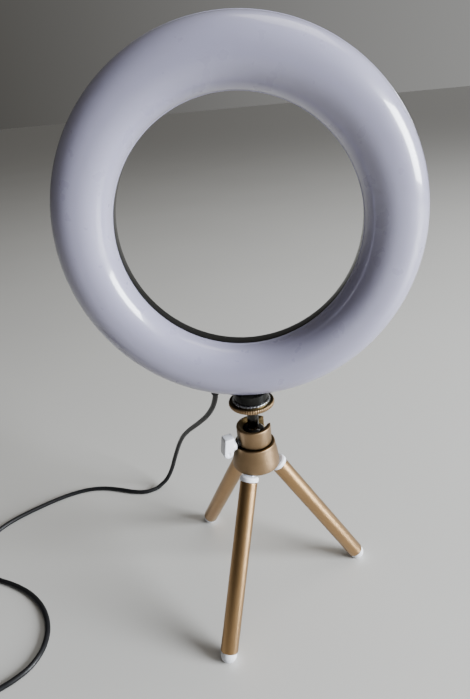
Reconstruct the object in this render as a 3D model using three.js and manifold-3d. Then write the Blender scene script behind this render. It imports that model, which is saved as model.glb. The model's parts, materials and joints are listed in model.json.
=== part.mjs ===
// USB ring light, 160 mm across, on a folding table tripod with a ball joint.
// Millimetres, +Z up. The ring faces -Y and the feet stand on z = 0.
import * as THREE from "three";
import { mergeVertices } from "three/addons/utils/BufferGeometryUtils.js";
import Module from "manifold-3d";

const wasm = await Module();
wasm.setup();

// ---------- driving dimensions ----------
const GAP = 0.3; // between touching pieces
const FINE = 48; // segments of the ring
const ROUND = 24; // segments of middling turned pieces
const SMALL = 12; // segments of screws and pins

const AXIS_Y = 5.4; // the tripod's axis lies this far behind the origin, which is under the box's centre

const RING_Z = 209.5; // height of the ring's centre
const RING_OUTER = 80;
const RING_INNER = 54.1;
const PARTING_Y = -1.5; // plane where the diffuser meets the back shell, from the tripod's axis
const BULGE = 12.8; // the diffuser's height in front of that plane
const BULGE_POWER = 0.87; // 1 would be a plain half ellipse
const DIFFUSER_WALL = 1.6;
const SHELL_DEPTH = 11.5;
const SHELL_WALL = 1.8;
const SHELL_DRAFT_OUT = 1.2;
const SHELL_DRAFT_IN = 1.35;
const BOARD_INNER = 58.2;
const BOARD_OUTER = 70.6;
const LED_COUNT = 30;
const LED_RADIUS = 64.6;
const POST_RADIUS = 73.2; // circle of the screw posts
const POST_COUNT = 6;

const SOCKET_R = 8.9; // round foot of the light, which stands on the platform disc
const SOCKET_BOTTOM = 124.4;
const SOCKET_DEPTH = 4.4; // of the threaded insert
const THREAD_R = 3.05; // 1/4 inch screw
const DISC_R = 11.6;
const DISC_TOP = 123.3;
const DISC_THICK = 2.4;
const KNURLS = 40;

const BALL_Z = 102.2;
const BALL_R = 6.5;
const NECK_R = 2.9;
const CUP_R = 9;
const CUP_TOP = 108.2;
const CUP_BOTTOM = 98.1;
const NOTCH_WIDTH = 7.4;
const NOTCH_AZIMUTH = 30;
const NOTCH_Z = 103.6; // middle of the notch's round end
const MOUTH_RISE = 3.8; // how far above the ball's middle the cup closes over it

const HUB_TOP = 97.8;
const HUB_BOTTOM = 84.4;
const HUB_R = 12.6;
const SPIGOT_R = 6.2;
const CLAMP_Z = 99.4; // height of the clamp screw's axis
const CLAMP_AZIMUTH = 206;
const CLAMP_SCREW_R = 1.9;
const KNOB_BOSS_START = 11; // from the tripod's axis
const KNOB_START = 11.9;
const KNOB_END = 17.3;
const KNOB_HEIGHT = 11.4;
const KNOB_THICK = 6;
const KNOB_ROUND = 2.7;
const KNOB_LEAN = 1.3; // how much further out the paddle's lower end is

const LEG_AZIMUTHS = [-109, 11, 131];
const LEG_SPLAY = 30.6; // from vertical, opened against the stop
const PIVOT_R = 7.5;
const LEG_LENGTH = 98.2; // pivot to the middle of the foot's round end
const FOOT_R = 4.2;
const FOOT_Z = 3.65; // height of that middle, so the foot's tip is cut flat by the table
const FOOT_SHOULDER = 1.5; // from that middle up to the tube's end
const FOOT_PLUG = 8; // how far the foot goes up inside the tube
const PIVOT_Z = FOOT_Z + LEG_LENGTH * Math.cos(THREE.MathUtils.degToRad(LEG_SPLAY));
const LEG_R = 4.6;
const LEG_WALL = 0.8;
const COLLAR_START = 6.4; // along the leg from its pivot
const COLLAR_THICK = 2.6;
const TONGUE_THICK = 4.4;
const PIN_R = 1;

const CORD_R = 1.5;
const CORD_SIDES = 8;
const COIL_MEAN_R = 16.65; // 11 cord diameters across at the middle of the turns
const COIL_HALF_WIDTH = 6.15; // four turns side by side
const COIL_HALF_HEIGHT = 3; // two turns one above the other
const COIL_X = -227.5;
const COIL_Y = -58;
const COIL_BASE = 1.3;
const COIL_CLEAR = 12.3; // how far before the coil's centre line the straight cord stops
const COIL_OUTSIDE = COIL_MEAN_R + COIL_HALF_WIDTH - CORD_R; // radius of the outermost turn's middle

const CONTROL_X = -196; // middle of the inline controller
const CONTROL_Y = -96;
const CONTROL_LENGTH = 50;
const CONTROL_WIDTH = 16;
const CONTROL_HEIGHT = 9.6;
const CONTROL_WALL = 1.5;
const BUTTON_COUNT = 4;
const BUTTON_PITCH = 10.4;
const BUTTON_R = 3.2;
const RELIEF_LENGTH = 7;

const PLUG_Y = -27; // where the plug's moulding begins, behind the coil
const PLUG_LENGTH = 22;
const PLUG_WIDTH = 14.6;
const PLUG_HEIGHT = 7.6;
const USB_WIDTH = 12;
const USB_HEIGHT = 4.5;
const USB_LENGTH = 18.5;

// The cord's route from the gland, hanging down to the table behind the tripod on the left.
const CORD_HANGING = [
  [-19.4, 10.7, 121.6],
  [-20.6, 14.2, 115.6],
  [-23.6, 20.3, 106.4],
  [-29.2, 29.5, 94.8],
  [-37.4, 41.6, 81.6],
  [-46.4, 54.2, 68.2],
  [-53.6, 64.8, 55.6],
  [-59.4, 72.2, 42.6],
  [-64.4, 77.0, 29.4],
  [-69.2, 79.8, 16.4],
  [-74.6, 79.8, 6.6],
  [-81.6, 75.8, 1.9],
];
// Along the table, past the left of the tripod and round a loop to the controller.
const CORD_ON_TABLE = [
  [-81.6, 75.8, 1.9],
  [-89.8, 72.6, 1.55],
  [-99.6, 73.2, 1.55],
  [-110.2, 75.8, 1.55],
  [-122.6, 77.8, 1.55],
  [-134.6, 77.0, 1.55],
  [-145.6, 73.2, 1.55],
  [-155.6, 67.6, 1.55],
  [-165.0, 61.0, 1.55],
  [-174.0, 53.8, 1.55],
  [-182.4, 45.8, 1.55],
  [-188.8, 36.6, 1.55],
  [-192.2, 26.4, 1.55],
  [-191.6, 15.8, 1.55],
  [-186.6, 6.4, 1.55],
  [-178.4, -0.6, 1.55],
  [-167.6, -4.8, 1.55],
  [-155.8, -8.8, 1.55],
  [-143.8, -14.6, 1.55],
  [-133.8, -22.2, 1.55],
  [-126.4, -31.0, 1.55],
  [-122.0, -40.6, 1.55],
  [-121.0, -50.4, 1.55],
  [-123.8, -59.6, 1.55],
  [-129.8, -66.6, 1.55],
  [-137.4, -72.6, 1.55],
  [-144.4, -79.4, 1.6],
  [-150.6, -87.2, 2.4],
  [-157.0, -93.4, 4.0],
  [-162.8, -96.0, 4.8],
];
// From the controller round to the coil.
const CORD_TO_COIL = [
  [-229.0, -96.0, 4.8],
  [-236.2, -94.2, 3.8],
  [-243.0, -88.6, 2.7],
  [-247.4, -80.6, 2.4],
  [COIL_X - COIL_OUTSIDE, COIL_Y - COIL_CLEAR, 2.3],
];
const HANGING_STEPS = 19;
const TABLE_STEPS = 54;
const TO_COIL_STEPS = 7;

// ---------- helpers ----------
const radians = THREE.MathUtils.degToRad;

function solidOf(geometry) {
  const bare = geometry.clone();
  bare.deleteAttribute("normal");
  bare.deleteAttribute("uv");
  const merged = mergeVertices(bare, 1e-4);
  const made = new wasm.Manifold(
    new wasm.Mesh({
      numProp: 3,
      vertProperties: new Float32Array(merged.attributes.position.array),
      triVerts: new Uint32Array(merged.index.array),
    }),
  );
  return made;
}

function geometryOf(solid) {
  const mesh = solid.getMesh();
  const geometry = new THREE.BufferGeometry();
  geometry.setAttribute("position", new THREE.BufferAttribute(mesh.vertProperties, 3));
  geometry.setIndex(new THREE.BufferAttribute(mesh.triVerts, 1));
  geometry.computeVertexNormals();
  return geometry;
}

function join(...solids) {
  return solids.reduce((all, next) => all.add(next));
}

function cut(solid, ...tools) {
  return tools.reduce((left, tool) => left.subtract(tool), solid);
}

// A turned solid about +Z from [radius, height] points that run up the outside.
function turned(points, segments = ROUND) {
  const profile = points.map(([r, h]) => new THREE.Vector2(r, h));
  const geometry = new THREE.LatheGeometry(profile, segments);
  geometry.rotateX(Math.PI / 2);
  return solidOf(geometry);
}

// A ring-shaped solid about the Y axis from [radius, forward] points, where forward is towards -Y.
function ringTurned(points) {
  return turned(points, FINE).rotate([90, 0, 0]);
}

function cylinder(radius, bottom, top, segments = SMALL, topRadius = radius) {
  return turned(
    [
      [0, bottom],
      [radius, bottom],
      [topRadius, top],
      [0, top],
    ],
    segments,
  );
}

function tubeSolid(outer, inner, bottom, top, segments = ROUND) {
  return turned(
    [
      [inner, bottom],
      [outer, bottom],
      [outer, top],
      [inner, top],
      [inner, bottom],
    ],
    segments,
  );
}

function box(x0, x1, y0, y1, z0, z1) {
  const geometry = new THREE.BoxGeometry(x1 - x0, y1 - y0, z1 - z0);
  geometry.translate((x0 + x1) / 2, (y0 + y1) / 2, (z0 + z1) / 2);
  return solidOf(geometry);
}

// A slab with rounded corners in plan.
function roundedSlab(length, width, z0, z1, corner) {
  const x = length / 2;
  const y = width / 2;
  const shape = new THREE.Shape();
  shape.absarc(x - corner, y - corner, corner, 0, Math.PI / 2);
  shape.absarc(corner - x, y - corner, corner, Math.PI / 2, Math.PI);
  shape.absarc(corner - x, corner - y, corner, Math.PI, 1.5 * Math.PI);
  shape.absarc(x - corner, corner - y, corner, 1.5 * Math.PI, 2 * Math.PI);
  const geometry = new THREE.ExtrudeGeometry(shape, {
    depth: z1 - z0,
    bevelEnabled: false,
    curveSegments: 3,
  });
  geometry.translate(0, 0, z0);
  return solidOf(geometry);
}

function sphere(radius, segments = 20) {
  const geometry = new THREE.SphereGeometry(radius, segments, segments / 2);
  geometry.rotateX(Math.PI / 2);
  return solidOf(geometry);
}

// Lays a solid made along +Z so that it runs outwards along +X.
function outward(solid) {
  return solid.rotate([0, 90, 0]);
}

const FINISHES = {
  diffuser: { color: 0xe2e2f0, roughness: 0.28, metalness: 0 },
  shell: { color: 0x141412, roughness: 0.25, metalness: 0 },
  board: { color: 0xf2f2ee, roughness: 0.6, metalness: 0 },
  brass: { color: 0xc49a4a, roughness: 0.35, metalness: 1 },
  steel: { color: 0xb9bbbe, roughness: 0.3, metalness: 1 },
  darkChrome: { color: 0x3a3a3c, roughness: 0.15, metalness: 1 },
  gold: { color: 0xb08d66, roughness: 0.38, metalness: 1 },
  white: { color: 0xeeeef2, roughness: 0.45, metalness: 0 },
  nylon: { color: 0xe4e0d4, roughness: 0.5, metalness: 0 },
  rubber: { color: 0x1b1b1c, roughness: 0.8, metalness: 0 },
  cord: { color: 0x101012, roughness: 0.45, metalness: 0 },
  blackPlastic: { color: 0x18181a, roughness: 0.35, metalness: 0 },
};

function piece(parent, name, shape, finish) {
  const geometry = shape.isBufferGeometry ? shape : geometryOf(shape);
  const material = new THREE.MeshStandardMaterial(FINISHES[finish]);
  const mesh = new THREE.Mesh(geometry, material);
  mesh.name = name;
  parent.add(mesh);
  return mesh;
}

// ---------- light head, about the ring's centre, +Y to the back ----------
const RING_MIDDLE = (RING_OUTER + RING_INNER) / 2;
const RING_HALF = (RING_OUTER - RING_INNER) / 2;

// Half of a super-ellipse over the ring's width, from the outer edge to the inner one.
function bulge(inset, steps) {
  const points = [];
  for (let i = 0; i <= steps; i++) {
    const angle = (Math.PI * i) / steps;
    const across = Math.cos(angle);
    const r = Math.sign(across) * Math.abs(across) ** BULGE_POWER * (RING_HALF - inset);
    const forward = i === 0 || i === steps ? 0 : Math.sin(angle) ** BULGE_POWER * (BULGE - inset);
    points.push([RING_MIDDLE + r, forward]);
  }
  return points;
}

function postAt(index, solid) {
  const angle = 30 + (360 / POST_COUNT) * index;
  const x = POST_RADIUS * Math.cos(radians(angle));
  const z = POST_RADIUS * Math.sin(radians(angle));
  return solid.rotate([-90, 0, 0]).translate([x, 0, z]);
}

function makeDiffuser() {
  const outside = bulge(0, 14);
  const inside = bulge(DIFFUSER_WALL, 8).reverse();
  const skin = ringTurned([...outside, ...inside, outside[0]]);
  const postTop = -9.9; // inside the bulge, measured towards the back
  const postEnd = SHELL_DEPTH - SHELL_WALL - GAP;
  let solid = skin;
  for (let i = 0; i < POST_COUNT; i++) {
    const post = cylinder(2.1, postTop, postEnd, 8);
    const pilot = cylinder(1.2, postEnd - 6.5, postEnd + 1, 6);
    solid = solid.add(postAt(i, post)).subtract(postAt(i, pilot));
  }
  return solid;
}

function shellProfile() {
  const back = -SHELL_DEPTH;
  const round = 2.4;
  return [
    [RING_OUTER, -GAP],
    [RING_OUTER - SHELL_DRAFT_OUT * 0.8, back + round],
    [RING_OUTER - SHELL_DRAFT_OUT - 0.5, back + 0.7],
    [RING_OUTER - SHELL_DRAFT_OUT - round, back],
    [RING_INNER + SHELL_DRAFT_IN + round, back],
    [RING_INNER + SHELL_DRAFT_IN + 0.5, back + 0.7],
    [RING_INNER + SHELL_DRAFT_IN * 0.8, back + round],
    [RING_INNER, -GAP],
    [RING_INNER + SHELL_WALL, -GAP],
    [RING_INNER + SHELL_DRAFT_IN + SHELL_WALL + 1, back + SHELL_WALL],
    [RING_OUTER - SHELL_DRAFT_OUT - SHELL_WALL - 1, back + SHELL_WALL],
    [RING_OUTER - SHELL_WALL, -GAP],
    [RING_OUTER, -GAP],
  ].reverse();
}

const SOCKET_Y = -PARTING_Y; // the tripod's axis, from the ring's parting plane
const SOCKET_Z = SOCKET_BOTTOM - RING_Z;
const GLAND = new THREE.Vector3(-17.6, 7, 132 - RING_Z);
const GLAND_DIRECTION = new THREE.Vector3(-0.17, 0.42, -0.89).normalize();

// Turns and moves a solid made along +Z so that it starts at the gland and follows its direction.
function atGland(solid) {
  const turn = new THREE.Quaternion().setFromUnitVectors(
    new THREE.Vector3(0, 0, 1),
    GLAND_DIRECTION,
  );
  const matrix = new THREE.Matrix4().compose(GLAND, turn, new THREE.Vector3(1, 1, 1));
  return solid.transform(matrix.elements);
}

function makeBackShell() {
  let shell = ringTurned(shellProfile());
  const foot = cylinder(SOCKET_R, SOCKET_Z, SOCKET_Z + 12, ROUND).translate([0, SOCKET_Y, 0]);
  const cavity = ringTurned([
    [RING_INNER, -SHELL_DEPTH - 10],
    [RING_OUTER - SHELL_WALL, -SHELL_DEPTH - 10],
    [RING_OUTER - SHELL_WALL, 40],
    [RING_INNER, 40],
    [RING_INNER, -SHELL_DEPTH - 10],
  ]);
  const frontRoom = ringTurned([
    [RING_INNER, -GAP],
    [RING_OUTER + 0.5, -GAP],
    [RING_OUTER + 0.5, 40],
    [RING_INNER, 40],
    [RING_INNER, -GAP],
  ]);
  const insertBore = cylinder(4.7, SOCKET_Z - 1, SOCKET_Z + SOCKET_DEPTH + GAP, ROUND);
  shell = shell.add(cut(foot, cavity, frontRoom));
  shell = shell.subtract(insertBore.translate([0, SOCKET_Y, 0]));
  const screwHole = cylinder(1.3, SHELL_DEPTH - 4, SHELL_DEPTH + 1, 8);
  const headHole = cylinder(2.5, SHELL_DEPTH - 1, SHELL_DEPTH + 1, 12);
  for (let i = 0; i < POST_COUNT; i++) {
    shell = cut(shell, postAt(i, screwHole), postAt(i, headHole));
  }
  return shell.subtract(atGland(cylinder(2.3, -6, 6)));
}

function makeLedBoard() {
  let board = ringTurned([
    [BOARD_INNER, -3],
    [BOARD_OUTER, -3],
    [BOARD_OUTER, -2],
    [BOARD_INNER, -2],
    [BOARD_INNER, -3],
  ]);
  for (let i = 0; i < LED_COUNT; i++) {
    const led = box(LED_RADIUS - 1.4, LED_RADIUS + 1.4, 1.2, 2.4, -1.75, 1.75);
    board = board.add(led.rotate([0, (360 / LED_COUNT) * (i + 0.5), 0]));
  }
  return board;
}

function makeShellScrew(index) {
  const head = cylinder(2.1, SHELL_DEPTH - 0.7, SHELL_DEPTH - 0.1, 12);
  const shank = cylinder(0.9, SHELL_DEPTH - 7.4, SHELL_DEPTH - 0.6, 6);
  const slot = box(-1.3, 1.3, -0.3, 0.3, SHELL_DEPTH - 0.4, SHELL_DEPTH + 1);
  return postAt(index, cut(head.add(shank), slot));
}

function makeGland() {
  const inside = cylinder(2, -4.4, 1, 12);
  const flange = cylinder(3.3, -4.9, -4.2, 12);
  const relief = turned(
    [
      [0, 0.6],
      [2.9, 0.6],
      [2.7, 3.5],
      [2.2, 9.9],
      [0, 9.9],
    ],
    12,
  );
  return atGland(join(inside, flange, relief));
}

// ---------- ball joint, about the tripod's axis ----------
function makeInsert() {
  const top = SOCKET_BOTTOM + SOCKET_DEPTH;
  return tubeSolid(4.4, THREAD_R + 0.15, SOCKET_BOTTOM + 0.2, top, 20);
}

function makeBallStud() {
  const collarTop = DISC_TOP - DISC_THICK - GAP;
  const ball = sphere(BALL_R).translate([0, 0, BALL_Z]);
  const shaft = turned([
    [0, BALL_Z],
    [NECK_R, BALL_Z],
    [NECK_R, collarTop - 3.4],
    [NECK_R + 1.6, collarTop - 2.6],
    [NECK_R + 1.6, collarTop],
    [THREAD_R, collarTop],
    [THREAD_R, SOCKET_BOTTOM + SOCKET_DEPTH - 1.4],
    [THREAD_R - 0.6, SOCKET_BOTTOM + SOCKET_DEPTH - 0.8],
    [0, SOCKET_BOTTOM + SOCKET_DEPTH - 0.8],
  ], 20);
  return ball.add(shaft);
}

function makeDisc() {
  const shape = new THREE.Shape();
  for (let i = 0; i < KNURLS * 2; i++) {
    const r = i % 2 ? DISC_R : DISC_R - 0.35;
    const angle = (Math.PI * i) / KNURLS;
    shape[i ? "lineTo" : "moveTo"](r * Math.cos(angle), r * Math.sin(angle));
  }
  shape.closePath();
  const geometry = new THREE.ExtrudeGeometry(shape, { depth: DISC_THICK, bevelEnabled: false });
  geometry.translate(0, 0, DISC_TOP - DISC_THICK);
  const bore = cylinder(THREAD_R + 0.25, DISC_TOP - DISC_THICK - 1, DISC_TOP + 1, 20);
  return solidOf(geometry).subtract(bore);
}

function makeCup() {
  const hollowR = BALL_R + GAP;
  const mouthZ = BALL_Z + MOUTH_RISE;
  const mouthR = Math.sqrt(hollowR ** 2 - MOUTH_RISE ** 2);
  const pocketR = 3.3;
  const profile = [
    [0, HUB_TOP - 4.9],
    [SPIGOT_R, HUB_TOP - 4.9],
    [SPIGOT_R, CUP_BOTTOM],
    [CUP_R - 0.3, CUP_BOTTOM],
    [CUP_R, CUP_BOTTOM + 0.4],
    [CUP_R, CUP_TOP - 0.3],
    [CUP_R - 0.3, CUP_TOP],
    [CUP_R - 0.8, CUP_TOP],
    [mouthR, mouthZ + 0.5],
  ];
  const steps = 5;
  const from = Math.asin(MOUTH_RISE / hollowR);
  const to = -Math.acos(pocketR / hollowR);
  for (let i = 0; i <= steps; i++) {
    const angle = from + ((to - from) * i) / steps;
    profile.push([hollowR * Math.cos(angle), BALL_Z + hollowR * Math.sin(angle)]);
  }
  profile.push([pocketR, HUB_TOP - 4.3], [0, HUB_TOP - 4.3]);
  const notch = join(
    box(2, 12, -NOTCH_WIDTH / 2, NOTCH_WIDTH / 2, NOTCH_Z, CUP_TOP + 4),
    outward(cylinder(NOTCH_WIDTH / 2, 2, 12, 20)).translate([0, 0, NOTCH_Z]),
  ).rotate([0, 0, NOTCH_AZIMUTH]);
  return cut(turned(profile), notch, clampHole());
}

function clampHole() {
  const hole = outward(cylinder(CLAMP_SCREW_R + GAP, 2.5, 14)).translate([0, 0, CLAMP_Z]);
  return hole.rotate([0, 0, CLAMP_AZIMUTH]);
}

function makeSeat() {
  const dishR = BALL_R + 0.25;
  return turned(
    [
      [0, HUB_TOP - 4],
      [2.9, HUB_TOP - 4],
      [2.9, BALL_Z - Math.sqrt(dishR ** 2 - 2.9 ** 2)],
      [1.5, BALL_Z - Math.sqrt(dishR ** 2 - 1.5 ** 2)],
      [0, BALL_Z - dishR],
    ],
    20,
  );
}

// The nylon pad is pushed along the clamp's axis, which is made here along +Z and then laid outwards.
function clampPlaced(solid) {
  return outward(solid).translate([0, 0, CLAMP_Z]).rotate([0, 0, CLAMP_AZIMUTH]);
}

function makeClampPad() {
  const pad = clampPlaced(cylinder(1.6, 4, 8));
  const ballRoom = sphere(BALL_R + GAP).translate([0, 0, BALL_Z]);
  return cut(pad, ballRoom);
}

function makeClampScrew() {
  return clampPlaced(cylinder(CLAMP_SCREW_R, 8.3, 16));
}

// An upright paddle on a short round boss, square at the top and round at the bottom. Its outline is
// drawn with x outwards from the tripod's axis and y upwards.
function makeKnob() {
  const edge = 0.5;
  const top = KNOB_HEIGHT / 2;
  const middle = (KNOB_START + KNOB_END) / 2 + KNOB_LEAN;
  const shape = new THREE.Shape();
  shape.moveTo(KNOB_END, top);
  shape.lineTo(KNOB_START, top);
  shape.absarc(middle, KNOB_ROUND - top, KNOB_ROUND, Math.PI, 2 * Math.PI);
  const geometry = new THREE.ExtrudeGeometry(shape, {
    depth: KNOB_THICK - 2 * edge,
    bevelEnabled: true,
    bevelThickness: edge,
    bevelSize: edge,
    bevelOffset: -edge,
    bevelSegments: 1,
    curveSegments: 12,
  });
  geometry.translate(0, 0, edge - KNOB_THICK / 2);
  geometry.rotateX(Math.PI / 2);
  const boss = outward(cylinder(3, KNOB_BOSS_START, KNOB_START + 1, 20));
  const bore = outward(cylinder(CLAMP_SCREW_R + 0.25, 10, 16.5));
  const paddle = cut(solidOf(geometry).add(boss), bore);
  return paddle.translate([0, 0, CLAMP_Z]).rotate([0, 0, CLAMP_AZIMUTH]);
}

// ---------- tripod ----------
// A leg is made along -Z under its pivot, then splayed outwards in the X-Z plane.
function splayed(solid) {
  return solid.rotate([0, -LEG_SPLAY, 0]).translate([PIVOT_R, 0, PIVOT_Z]);
}

function hingePin(radius, half) {
  return cylinder(radius, -half, half, 12).rotate([90, 0, 0]);
}

function makeKnuckle() {
  const bar = box(-1.9, 1.9, -TONGUE_THICK / 2, TONGUE_THICK / 2, -COLLAR_START - 0.5, 0);
  const eye = cylinder(2.9, -TONGUE_THICK / 2, TONGUE_THICK / 2, 16).rotate([90, 0, 0]);
  const collarEnd = -COLLAR_START - COLLAR_THICK;
  const body = turned(
    [
      [0, collarEnd - 8],
      [LEG_R - LEG_WALL - GAP, collarEnd - 8],
      [LEG_R - LEG_WALL - GAP, collarEnd],
      [LEG_R + 0.3, collarEnd],
      [LEG_R + 0.3, -COLLAR_START - 0.7],
      [LEG_R - 0.5, -COLLAR_START],
      [0, -COLLAR_START],
    ],
    18,
  );
  return cut(join(bar, eye, body), hingePin(PIN_R + GAP, 6));
}

function makeLegTube() {
  const top = -COLLAR_START - COLLAR_THICK - GAP;
  const bottom = -LEG_LENGTH + FOOT_SHOULDER + GAP;
  return tubeSolid(LEG_R, LEG_R - LEG_WALL, bottom, top, 18);
}

// A round-ended foot, a little narrower than the tube, on a plug that fits inside it.
function makeFoot() {
  const profile = [];
  const steps = 5;
  for (let i = 0; i <= steps; i++) {
    const angle = (Math.PI / 2) * (i / steps - 1);
    profile.push([FOOT_R * Math.cos(angle), -LEG_LENGTH + FOOT_R * Math.sin(angle)]);
  }
  const shoulder = -LEG_LENGTH + FOOT_SHOULDER;
  const plugR = LEG_R - LEG_WALL - GAP;
  profile.push([FOOT_R, shoulder], [plugR, shoulder], [plugR, shoulder + FOOT_PLUG]);
  profile.push([0, shoulder + FOOT_PLUG]);
  const foot = splayed(turned(profile, 18));
  return cut(foot, box(30, 90, -20, 20, -10, 0));
}

function makeHub() {
  let hub = turned(
    [
      [0, HUB_BOTTOM + 1.9],
      [HUB_R - 1.6, HUB_BOTTOM + 1.9],
      [HUB_R - 1.6, HUB_BOTTOM],
      [HUB_R - 0.3, HUB_BOTTOM],
      [HUB_R, HUB_BOTTOM + 0.5],
      [HUB_R - 0.3, HUB_BOTTOM + 3.6],
      [HUB_R - 0.9, HUB_BOTTOM + 7.6],
      [HUB_R - 1.7, HUB_BOTTOM + 11.6],
      [HUB_R - 1.9, HUB_TOP - 0.5],
      [HUB_R - 2.4, HUB_TOP],
      [SPIGOT_R + GAP, HUB_TOP],
      [SPIGOT_R + GAP, HUB_TOP - 5.2],
      [0, HUB_TOP - 5.2],
    ],
    36,
  );
  const bar = box(-2.25, 2.25, -2.5, 2.5, -9, 0);
  for (const azimuth of LEG_AZIMUTHS) {
    const slot = box(PIVOT_R - 3.3, PIVOT_R + 3.3, -2.5, 2.5, HUB_BOTTOM - 1, PIVOT_Z + 3.3);
    const barRoom = splayed(bar);
    const pinRoom = hingePin(PIN_R + 0.1, 6).translate([PIVOT_R, 0, PIVOT_Z]);
    const pinWay = box(PIVOT_R - PIN_R - 0.1, PIVOT_R + PIN_R + 0.1, -6, 6, HUB_BOTTOM, PIVOT_Z);
    const room = join(slot, barRoom, pinRoom, pinWay).rotate([0, 0, azimuth]);
    hub = hub.subtract(room);
  }
  return cut(hub, clampHole(), cylinder(1.3, HUB_BOTTOM, HUB_BOTTOM + 6.6));
}

// The plate closes the hub from below and its posts hold the hinge pins up.
function makeHubPlate() {
  const bottom = HUB_BOTTOM + 0.2;
  const top = HUB_BOTTOM + 1.6;
  let plate = cylinder(HUB_R - 1.6 - GAP, bottom, top, 36);
  for (const azimuth of LEG_AZIMUTHS) {
    for (const side of [-1, 1]) {
      const near = side > 0 ? 3.1 : -5.4;
      const postTop = PIVOT_Z - PIN_R - GAP;
      const post = box(PIVOT_R - 0.8, PIVOT_R + 0.8, near, near + 2.3, top - 0.2, postTop);
      plate = plate.add(post.rotate([0, 0, azimuth]));
    }
    plate = plate.subtract(box(3.4, 16, -2.7, 2.7, bottom - 1, top + 1).rotate([0, 0, azimuth]));
  }
  return plate.subtract(cylinder(1.3, bottom - 1, top + 1));
}

function makeHubScrew() {
  const head = cylinder(2.3, HUB_BOTTOM - 1.3, HUB_BOTTOM - 0.1, 16);
  const shank = cylinder(1, HUB_BOTTOM - 0.2, HUB_BOTTOM + 6.2, 12);
  return head.add(shank);
}

// ---------- cord and what is on it ----------
function cordTube(points, steps) {
  const route = new THREE.CatmullRomCurve3(
    points.map((p) => new THREE.Vector3(...p)),
    false,
    "centripetal",
  );
  const section = new THREE.Shape();
  for (let i = 0; i < CORD_SIDES; i++) {
    const angle = (2 * Math.PI * i) / CORD_SIDES;
    const x = CORD_R * Math.cos(angle);
    const y = CORD_R * Math.sin(angle);
    section[i ? "lineTo" : "moveTo"](x, y);
  }
  section.closePath();
  return new THREE.ExtrudeGeometry(section, {
    steps,
    bevelEnabled: false,
    extrudePath: route,
  });
}

// The last point of a stretch, drawn back so that it stays clear of what follows.
function drawnBack(points, distance) {
  const last = new THREE.Vector3(...points[points.length - 1]);
  const before = new THREE.Vector3(...points[points.length - 2]);
  const end = last.add(before.sub(last).setLength(distance));
  return [...points.slice(0, -1), end.toArray()];
}

function makeCoil() {
  const inner = COIL_MEAN_R - COIL_HALF_WIDTH;
  const outer = COIL_MEAN_R + COIL_HALF_WIDTH;
  const top = COIL_BASE + 2 * COIL_HALF_HEIGHT;
  const round = 1.5;
  return turned([
    [inner + round, COIL_BASE],
    [outer - round, COIL_BASE],
    [outer, COIL_BASE + round],
    [outer, top - round],
    [outer - round, top],
    [inner + round, top],
    [inner, top - round],
    [inner, COIL_BASE + round],
    [inner + round, COIL_BASE],
  ]).translate([COIL_X, COIL_Y, 0]);
}

// A strap round the winding on its right.
function makeTie() {
  const room = GAP + 0.15;
  const skin = 0.8;
  const x = COIL_HALF_WIDTH + room;
  const low = COIL_BASE - room;
  const high = COIL_BASE + 2 * COIL_HALF_HEIGHT + room;
  const outside = box(-x - skin, x + skin, -2.4, 2.4, low - skin, high + skin);
  const inside = box(-x, x, -4, 4, low, high);
  return cut(outside, inside).translate([COIL_X + COIL_MEAN_R, COIL_Y, 0]);
}

const CONTROL_SPLIT = CONTROL_HEIGHT * 0.5;

function controlPlaced(solid) {
  return solid.translate([CONTROL_X, CONTROL_Y, 0]);
}

function buttonX(index) {
  return (index - (BUTTON_COUNT - 1) / 2) * BUTTON_PITCH;
}

function cordRoom() {
  const long = CONTROL_LENGTH + 4;
  return outward(cylinder(1.9, -long / 2, long / 2)).translate([0, 0, CONTROL_SPLIT]);
}

function controlCavity(z0, z1) {
  const length = CONTROL_LENGTH - 2 * CONTROL_WALL;
  const width = CONTROL_WIDTH - 2 * CONTROL_WALL;
  return roundedSlab(length, width, z0, z1, 2.5);
}

function makeControlBottom() {
  const outside = roundedSlab(CONTROL_LENGTH, CONTROL_WIDTH, 0, CONTROL_SPLIT, 4);
  const inside = controlCavity(CONTROL_WALL, CONTROL_SPLIT + 1);
  return controlPlaced(cut(outside, inside, cordRoom()));
}

function makeControlTop() {
  const low = CONTROL_SPLIT + 0.1;
  const outside = roundedSlab(CONTROL_LENGTH, CONTROL_WIDTH, low, CONTROL_HEIGHT, 4);
  const inside = controlCavity(low - 1, CONTROL_HEIGHT - CONTROL_WALL);
  let top = cut(outside, inside, cordRoom());
  for (let i = 0; i < BUTTON_COUNT; i++) {
    const hole = cylinder(BUTTON_R + GAP, CONTROL_HEIGHT - 3, CONTROL_HEIGHT + 1, 14);
    top = top.subtract(hole.translate([buttonX(i), 0, 0]));
  }
  return controlPlaced(top);
}

function makeControlBoard() {
  let board = roundedSlab(CONTROL_LENGTH - 8, CONTROL_WIDTH - 4.4, 2, 3, 1);
  for (let i = 0; i < BUTTON_COUNT; i++) {
    const key = box(-2, 2, -2, 2, 2.8, 5.6).translate([buttonX(i), 0, 0]);
    board = board.add(key);
  }
  return controlPlaced(board);
}

function makeButton(index) {
  const flange = cylinder(BUTTON_R + 0.9, CONTROL_HEIGHT - 2.6, CONTROL_HEIGHT - 1.8, 14);
  const cap = cylinder(BUTTON_R, CONTROL_HEIGHT - 2.7, CONTROL_HEIGHT + 0.7, 14, BUTTON_R - 0.2);
  return controlPlaced(flange.add(cap).translate([buttonX(index), 0, 0]));
}

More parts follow.
